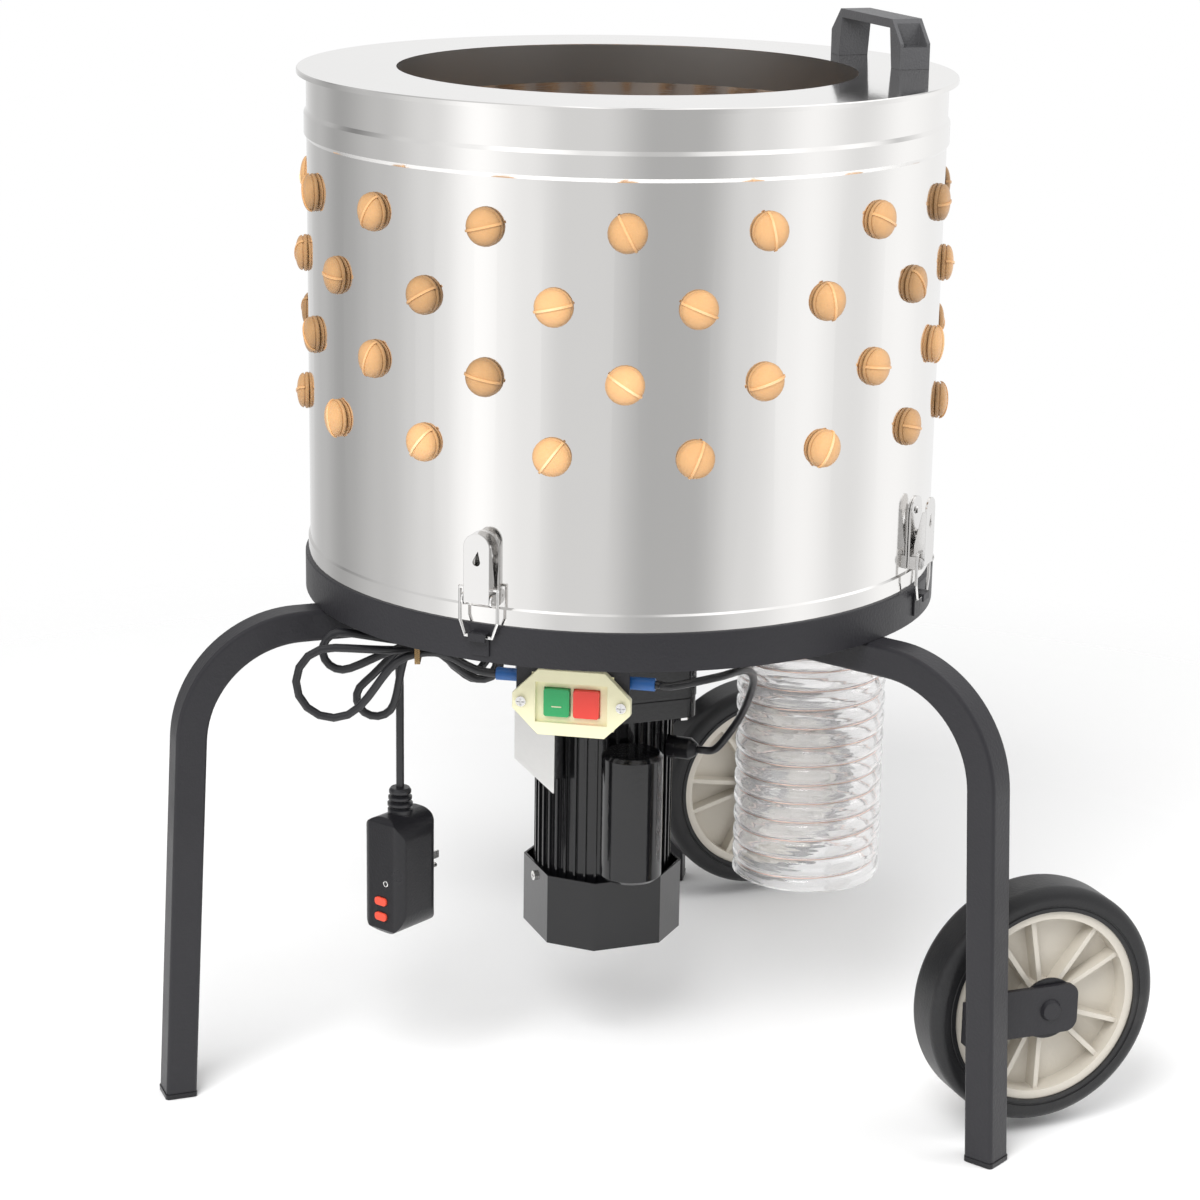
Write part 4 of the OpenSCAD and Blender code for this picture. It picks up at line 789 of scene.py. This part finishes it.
class PLUCKER_OT_cords(bpy.types.Operator):
    """Lays the mains cord with its loops and tail, and the motor's cord from the switch to the gland."""

    bl_idname = "plucker.cords"
    bl_label = "Cords"

    def execute(self, context):
        sizes = context.scene.plucker_sizes
        relief_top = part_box("strain_relief")[1].z
        tucked = 2 * MM
        points = CordRoute(sizes.layer).points(24, relief_top - tucked)
        mains = tube("mains_cord", points, sizes.cord_d, "stand", "cord_rubber")
        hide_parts("cord_loops", "cord_tail")
        band = self.tie_band(sizes, points)
        run_length(points)
        points = self.motor_points()
        motor = tube("motor_cord", points, sizes.cord_d, "stand", "cord_rubber")
        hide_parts("motor_lead")
        run_length(points)
        return {"FINISHED"}

    def motor_points(self):
        """Smooth route through the bends of the motor's cord, given in millimetres from the drum's axis."""
        way = turned((0, 1, 0), SWITCH_AZ)
        start = sleeve_end(1)
        top = RING_FOOT / MM
        gland_r = 10 * MM
        gland_az = -40
        gland_reach = 81 * MM
        gland_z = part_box("cable_gland")[0].z + gland_r
        out = turned((1, 0, 0), gland_az)
        motor_axis = Vector((-9, 4, gland_z / MM)) * MM
        end = motor_axis + gland_reach * out
        bends = [(12, -182, top - 30), (44, -160, top - 34), (64, -132, top - 52), (72, -102, top - 82)]
        bends.append((74, -76, gland_z / MM + 28))
        knots = [start + 4 * MM * way, start + 14 * MM * way] + [Vector(b) * MM for b in bends]
        knots += [end + 16 * MM * out + Vector((0, 0, 3 * MM)), end + 4 * MM * out]
        route = [start]
        steps = 8
        for i in range(len(knots) - 1):
            before, a, b = knots[max(i - 1, 0)], knots[i], knots[i + 1]
            after = knots[min(i + 2, len(knots) - 1)]
            for k in range(steps):
                route.append(bezier(a, a + (b - before) / 6, b - (after - a) / 6, b, k / steps))
        route += [knots[-1], end]
        return [p + DRUM_AXIS for p in route]

    def tie_band(self, sizes, points):
        """Woven band round the strands, over its peg: a rounded loop that is drawn out to its width."""
        low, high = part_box("cord_tie")
        middle = DRUM_AXIS + TIE_AT
        local = [turned(p - middle, -TIE_AZ) for p in points]
        near = [p for p in local if abs(p.x) < sizes.tie_w]
        deep = [min(p.y for p in near) - sizes.cord_d, max(p.y for p in near) + sizes.cord_d]
        tall = [low.z + sizes.tie_t - middle.z, high.z - sizes.tie_t - middle.z]
        corner_r = 4 * MM
        bm = bmesh.new()
        places = zip(deep + deep[::-1], tall[:1] * 2 + tall[1:] * 2)
        corners = [bm.verts.new((-sizes.tie_w / 2, y, z)) for y, z in places]
        bm.faces.new(corners)
        bmesh.ops.bevel(
            bm,
            geom=corners,
            offset=corner_r,
            offset_type="OFFSET",
            segments=6,
            profile=0.5,
            affect="VERTICES",
            material=-1,
        )
        rim = bm.edges[:]
        bmesh.ops.delete(bm, geom=bm.faces[:], context="FACES_ONLY")
        drawn = bmesh.ops.extrude_edge_only(bm, edges=rim)["geom"]
        moved = [v for v in drawn if isinstance(v, bmesh.types.BMVert)]
        bmesh.ops.translate(bm, verts=moved, vec=(sizes.tie_w, 0, 0))
        bmesh.ops.recalc_face_normals(bm, faces=bm.faces[:])
        bmesh.ops.solidify(bm, geom=bm.faces[:], thickness=-sizes.tie_t)
        turn = Matrix.Translation(middle) @ Matrix.Rotation(math.radians(TIE_AZ), 4, "Z")
        bmesh.ops.transform(bm, matrix=turn, verts=bm.verts[:])
        band = finished("cord_band", bm, "stand", "tie_fabric", 50)
        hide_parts("cord_tie")
        return band


class PLUCKER_OT_hose(bpy.types.Operator):
    """Winds the clear feather hose: a film that bulges between the turns of its wire, and the wire."""

    bl_idname = "plucker.hose"
    bl_label = "Feather hose"

    def execute(self, context):
        sizes = context.scene.plucker_sizes
        low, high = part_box("feather_hose")
        axis = axis_of("feather_hose")
        solid_rib = 3 * MM
        wall = (high.x - low.x) / 2 - solid_rib
        cuff = high.z - sizes.hose_cuff
        skin = self.film(sizes, wall, axis, low.z, cuff, high.z)
        film = finished("hose_film", skin, "stand", "clear_hose", 60)
        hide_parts("feather_hose")
        coil = self.wire(sizes, wall, axis, low.z, cuff)
        finished("hose_wire", coil, "stand", "hose_wire", 60)
        return {"FINISHED"}

    def film(self, sizes, wall, axis, foot, cuff, top):
        """Film of the hose, wound with its bulges, cut level at both ends and given its thickness."""
        bm = bmesh.new()
        pitch = sizes.rib_pitch
        turns = math.ceil((top - foot) / pitch) + 1
        arc_steps = 8
        overlap, fade = 4 * MM, 10 * MM
        verts = []
        for i in range(arc_steps + 1):
            a = math.pi * i / arc_steps
            bulge = wall + sizes.rib_proud * math.sin(a)
            verts.append(bm.verts.new((bulge, 0, pitch * (0.5 - math.cos(a) / 2))))
        edges = [bm.edges.new(pair) for pair in zip(verts, verts[1:])]
        wound(verts, edges, bm, turns, pitch)
        bmesh.ops.remove_doubles(bm, verts=bm.verts[:], dist=1e-5)
        bmesh.ops.translate(bm, verts=bm.verts[:], vec=(0, 0, foot - pitch))
        for level, up in ((foot, -1), (top, 1)):
            bmesh.ops.bisect_plane(
                bm,
                geom=bm.verts[:] + bm.edges[:] + bm.faces[:],
                plane_co=(0, 0, level),
                plane_no=(0, 0, up),
                clear_outer=True,
            )
        for v in bm.verts:
            radius = math.hypot(v.co.x, v.co.y)
            swell = min(1, max(0, (cuff + overlap - v.co.z) / fade))
            even = (wall + (radius - wall) * swell) / radius
            v.co = (v.co.x * even, v.co.y * even, v.co.z)
        bmesh.ops.recalc_face_normals(bm, faces=bm.faces[:])
        outward = sum(f.normal.xy.dot(f.calc_center_median().xy) for f in bm.faces)
        if outward < 0:
            bmesh.ops.reverse_faces(bm, faces=bm.faces[:])
        bmesh.ops.solidify(bm, geom=bm.faces[:], thickness=sizes.hose_wall)
        bmesh.ops.translate(bm, verts=bm.verts[:], vec=axis)
        return bm

    def wire(self, sizes, wall, axis, foot, cuff):
        """Wire of the hose, in the groove between two bulges."""
        bm = bmesh.new()
        sides = 8
        proud = 0.5 * MM
        ring = bmesh.ops.create_circle(bm, segments=sides, radius=sizes.wire_d / 2)["verts"]
        bmesh.ops.rotate(bm, verts=ring, cent=(0, 0, 0), matrix=Matrix.Rotation(math.pi / 2, 3, "X"))
        bmesh.ops.translate(bm, verts=ring, vec=(wall + proud, 0, 0))
        turns = math.floor((cuff - foot) / sizes.rib_pitch * 4) / 4
        wound(ring, bm.edges[:], bm, turns, sizes.rib_pitch)
        ends = [e for e in bm.edges if e.is_boundary]
        bmesh.ops.holes_fill(bm, edges=ends, sides=sides)
        settle(bm)
        bmesh.ops.translate(bm, verts=bm.verts[:], vec=axis + Vector((0, 0, foot)))
        return bm


class PLUCKER_OT_fingers(bpy.types.Operator):
    """Moulds the rubber fingers of the drum wall and of the spinning plate, each with its own tone."""

    bl_idname = "plucker.fingers"
    bl_label = "Rubber fingers"

    def execute(self, context):
        sizes = context.scene.plucker_sizes
        chance = random.Random(7)
        top_row = 88 * MM
        row_gap = 55 * MM
        first_az = -111
        drum_sheet = 1.7 * MM
        plate_sheet = 3 * MM
        rows = [DRUM_TOP - top_row - i * row_gap for i in range(4)]
        step = 360 / sizes.row_fingers
        wall = self.mould(sizes, drum_sheet, sizes.wall_finger_l)
        seam = self.seam(sizes)
        outwards = Matrix.Rotation(math.pi / 2, 4, "Y")
        for name, picked in (("wall_fingers_upper", (0, 1)), ("wall_fingers_lower", (2, 3))):
            spots = []
            for i in picked:
                for k in range(sizes.row_fingers):
                    turn = first_az + (k + (i % 2) / 2) * step
                    spots.append(at_azimuth(turn, DRUM_R, rows[i]) @ outwards)
            self.set_fingers(name, (wall, seam), spots, "stand", chance)
        plate_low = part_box("feather_plate")[1].z - plate_sheet
        down = Matrix.Rotation(math.pi, 4, "X")
        spots = []
        for fingers, shift, ring_r in ((8, 0, 80 * MM), (12, 0.5, 145 * MM)):
            for i in range(fingers):
                spots.append(at_azimuth((i + shift) * 360 / fingers, ring_r, plate_low) @ down)
        short = self.mould(sizes, plate_sheet, sizes.plate_finger_l)
        self.set_fingers("plate_fingers", (short, seam), spots, "spinner", chance)
        return {"FINISHED"}

    def mould(self, sizes, sheet, finger_l):
        """One finger along Z: its head above its sheet and its ribs below."""
        head, neck = sizes.head_d / 2, sizes.neck_d / 2
        lip, gap = 0.32 * sizes.head_h, 0.1 * sizes.head_h
        dome = sizes.head_h - lip - gap
        dome_r, groove_r = head - 0.6 * MM, head - 1.5 * MM
        seat = -sheet - 0.2 * MM
        collar, collar_h = neck + 3 * MM, 4 * MM
        rib = (finger_l - collar_h) / sizes.finger_ribs
        tip = seat - finger_l
        soft = 0.8 * MM
        profile = [(0, sizes.head_h)]
        for a in range(80, -1, -10):
            turn = math.radians(a)
            profile.append((dome_r * math.cos(turn), lip + gap + dome * math.sin(turn) ** 0.9))
        profile += [(groove_r, lip + gap), (groove_r, lip), (head - soft, lip), (head, lip - soft)]
        profile += [(head, soft), (head - soft, 0), (neck, 0), (neck, seat)]
        profile += [(collar - soft, seat), (collar, seat - soft)]
        profile += [(collar, seat - 3 * MM), (collar - soft, seat - collar_h)]
        # Each rib of the finger: how far it stands back in millimetres, and its place along the rib.
        rib_form = [(1.2, 0.12), (1.2, 0.2), (0.2, 0.36), (0, 0.55), (0.3, 0.8)]
        for i in range(sizes.finger_ribs):
            z = seat - collar_h - i * rib
            r = neck + 1.5 * MM - 3.5 * MM * i / sizes.finger_ribs
            profile += [(r - back * MM, z - along * rib) for back, along in rib_form]
        profile += [(neck - 3 * MM, tip + 0.6 * MM), (neck - 4 * MM, tip), (0, tip)]
        return spun(profile, 24)

    def seam(self, sizes):
        """Raised mould seam over the head's dome: a narrow strip with a thickness."""
        bm = bmesh.new()
        head = sizes.head_d / 2
        half = sizes.seam_w / 2
        base = 0.42 * sizes.head_h
        dome = 0.58 * sizes.head_h
        seam_t = 0.8 * MM
        line = []
        for a in range(-90, 91, 15):
            turn = math.radians(a)
            reach = (head - 0.3 * MM) * math.sin(turn)
            height = base - 0.6 * MM + (dome + 0.7 * MM) * math.cos(turn) ** 0.9
            line.append(bm.verts.new((reach, -half, height)))
        edges = [bm.edges.new(pair) for pair in zip(line, line[1:])]
        drawn = bmesh.ops.extrude_edge_only(bm, edges=edges)["geom"]
        moved = [v for v in drawn if isinstance(v, bmesh.types.BMVert)]
        bmesh.ops.translate(bm, verts=moved, vec=(0, sizes.seam_w, 0))
        bmesh.ops.recalc_face_normals(bm, faces=bm.faces[:])
        if sum(f.normal.z for f in bm.faces) < 0:
            bmesh.ops.reverse_faces(bm, faces=bm.faces[:])
        bmesh.ops.solidify(bm, geom=bm.faces[:], thickness=-seam_t)
        return bm

    def painted_shading(self, place, reach):
        """Painted highlight and shade of a head: a paler middle and a darker edge, as the change of tone at
        one place.
        """
        if place.z <= 0:
            return 0.0
        return 0.2 - 0.5 * (math.hypot(place.x, place.y) / reach) ** 3

    def set_fingers(self, node, parts, spots, body, chance):
        """Copies of a finger and its pale seam at all spots, each with its own turn and tone, with painted
        highlight and shade on each head.
        """
        patterns = []
        for part, paler in zip(parts, (0.0, 0.35)):
            pattern = bpy.data.meshes.new("finger")
            part.to_mesh(pattern)
            patterns.append((pattern, paler))
        bm = bmesh.new()
        tones = []
        reach = max(v.co.x for v in patterns[0][0].vertices)
        for spot in spots:
            first = len(bm.verts)
            tone = chance.uniform(0.2, 0.85)
            for pattern, paler in patterns:
                bm.from_mesh(pattern)
                # Tone of each vertex: the finger's own random tone, the seam's paler colour, and painted
                # highlight and shade on the head.
                tones += [tone + paler + self.painted_shading(v.co, reach) for v in pattern.vertices]
            bm.verts.ensure_lookup_table()
            turn = Matrix.Rotation(chance.uniform(0, math.pi), 4, "Z")
            bmesh.ops.transform(bm, matrix=spot @ turn, verts=bm.verts[first:])
        piece = finished(node.replace("fingers", "rubber"), bm, body, "finger_rubber", 50)
        piece.data.attributes.new("tone", "FLOAT", "POINT").data.foreach_set("value", tones)
        for pattern, _ in patterns:
            bpy.data.meshes.remove(pattern)
        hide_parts(node)


class PLUCKER_OT_plug_lamp(bpy.types.Operator):
    """Sets the small lamp with its ring into the plug's face."""

    bl_idname = "plucker.plug_lamp"
    bl_label = "Plug lamp"

    def execute(self, context):
        out = turned((1, 0, 0), PLUG_AZ)
        side = turned((0, 1, 0), PLUG_AZ)
        up = Vector((0, 0, 1))
        aside, above = 5 * MM, 16 * MM
        spot = out * reach_of("plug_body", out) + side * (middle_of("plug_body", side) + aside)
        spot += up * (middle_of("test_button", up) + above)
        place = Matrix.Translation(DRUM_AXIS + spot) @ out.to_track_quat("Z", "Y").to_matrix().to_4x4()
        ring = [(1.6, -0.8), (1.6, 0.5), (2.0, 0.8), (2.6, 0.5), (2.8, -0.8)]
        lens = [(0, 0.5), (0.8, 0.4), (1.6, 0), (1.6, -0.6)]
        self.set_turned("plug_lamp_ring", ring, 24, place, "bright_metal")
        self.set_turned("plug_lamp_lens", lens, 20, place, "black_plastic")
        return {"FINISHED"}

    def set_turned(self, name, profile, steps, place, slot):
        """A turned piece of the lamp at its place, from a profile in millimetres."""
        bm = spun([(r * MM, z * MM) for r, z in profile], steps)
        bmesh.ops.transform(bm, matrix=place, verts=bm.verts[:])
        finished(name, bm, "stand", slot, 40)


class PLUCKER_OT_start_mark(bpy.types.Operator):
    """Lays the short pale bar on the start button."""

    bl_idname = "plucker.start_mark"
    bl_label = "Start mark"

    def execute(self, context):
        out = turned((1, 0, 0), SWITCH_AZ)
        side = turned((0, 1, 0), SWITCH_AZ)
        up = Vector((0, 0, 1))
        proud, below = 0.1 * MM, 3 * MM
        spot = out * (reach_of("start_button", out) + proud) + side * middle_of("start_button", side)
        spot += up * (middle_of("start_button", up) - below)
        bm = bmesh.new()
        bmesh.ops.create_cube(bm, size=1)
        bar = (0.5 * MM, 8 * MM, 0.9 * MM)
        soft = 0.2 * MM
        bmesh.ops.scale(bm, verts=bm.verts[:], vec=bar)
        bmesh.ops.bevel(
            bm, geom=bm.edges[:], offset=soft, segments=2, profile=0.5, affect="EDGES", material=-1
        )
        place = Matrix.Translation(DRUM_AXIS + spot) @ Matrix.Rotation(math.radians(SWITCH_AZ), 4, "Z")
        bmesh.ops.transform(bm, matrix=place, verts=bm.verts[:])
        finished("start_mark", bm, "start_key", "switch_cream", 40)
        return {"FINISHED"}


class PLUCKER_PT_panel(bpy.types.Panel):
    """Sidebar panel with the plucker's steps, sizes and colours."""

    bl_idname = "PLUCKER_PT_panel"
    bl_label = "Plucker"
    bl_space_type = "VIEW_3D"
    bl_region_type = "UI"
    bl_category = "Plucker"

    def draw(self, context):
        column = self.layout.column()
        for step in STEPS:
            column.operator(step.bl_idname)
        scene = context.scene
        for group in (scene.plucker_sizes, scene.plucker_colours, scene.plucker_stage):
            for name in group.bl_rna.properties.keys():
                if name not in ("rna_type", "name"):
                    column.prop(group, name)


GROUPS = (PluckerSizes, PluckerColours, PluckerStage)
STEPS = (
    PLUCKER_OT_finishes,
    PLUCKER_OT_camera,
    PLUCKER_OT_cords,
    PLUCKER_OT_hose,
    PLUCKER_OT_fingers,
    PLUCKER_OT_plug_lamp,
    PLUCKER_OT_start_mark,
    PLUCKER_OT_stage,
)


def register():
    for kind in GROUPS + STEPS + (PLUCKER_PT_panel,):
        bpy.utils.register_class(kind)
    bpy.types.Scene.plucker_sizes = bpy.props.PointerProperty(type=PluckerSizes)
    bpy.types.Scene.plucker_colours = bpy.props.PointerProperty(type=PluckerColours)
    bpy.types.Scene.plucker_stage = bpy.props.PointerProperty(type=PluckerStage)


def unregister():
    del bpy.types.Scene.plucker_stage
    del bpy.types.Scene.plucker_colours
    del bpy.types.Scene.plucker_sizes
    for kind in reversed(GROUPS + STEPS + (PLUCKER_PT_panel,)):
        bpy.utils.unregister_class(kind)


def main():
    register()
    bpy.ops.plucker.finishes()
    bpy.ops.plucker.camera()
    bpy.ops.plucker.cords()
    bpy.ops.plucker.hose()
    bpy.ops.plucker.fingers()
    bpy.ops.plucker.plug_lamp()
    bpy.ops.plucker.start_mark()
    bpy.ops.plucker.stage()


if __name__ == "__main__":
    main()
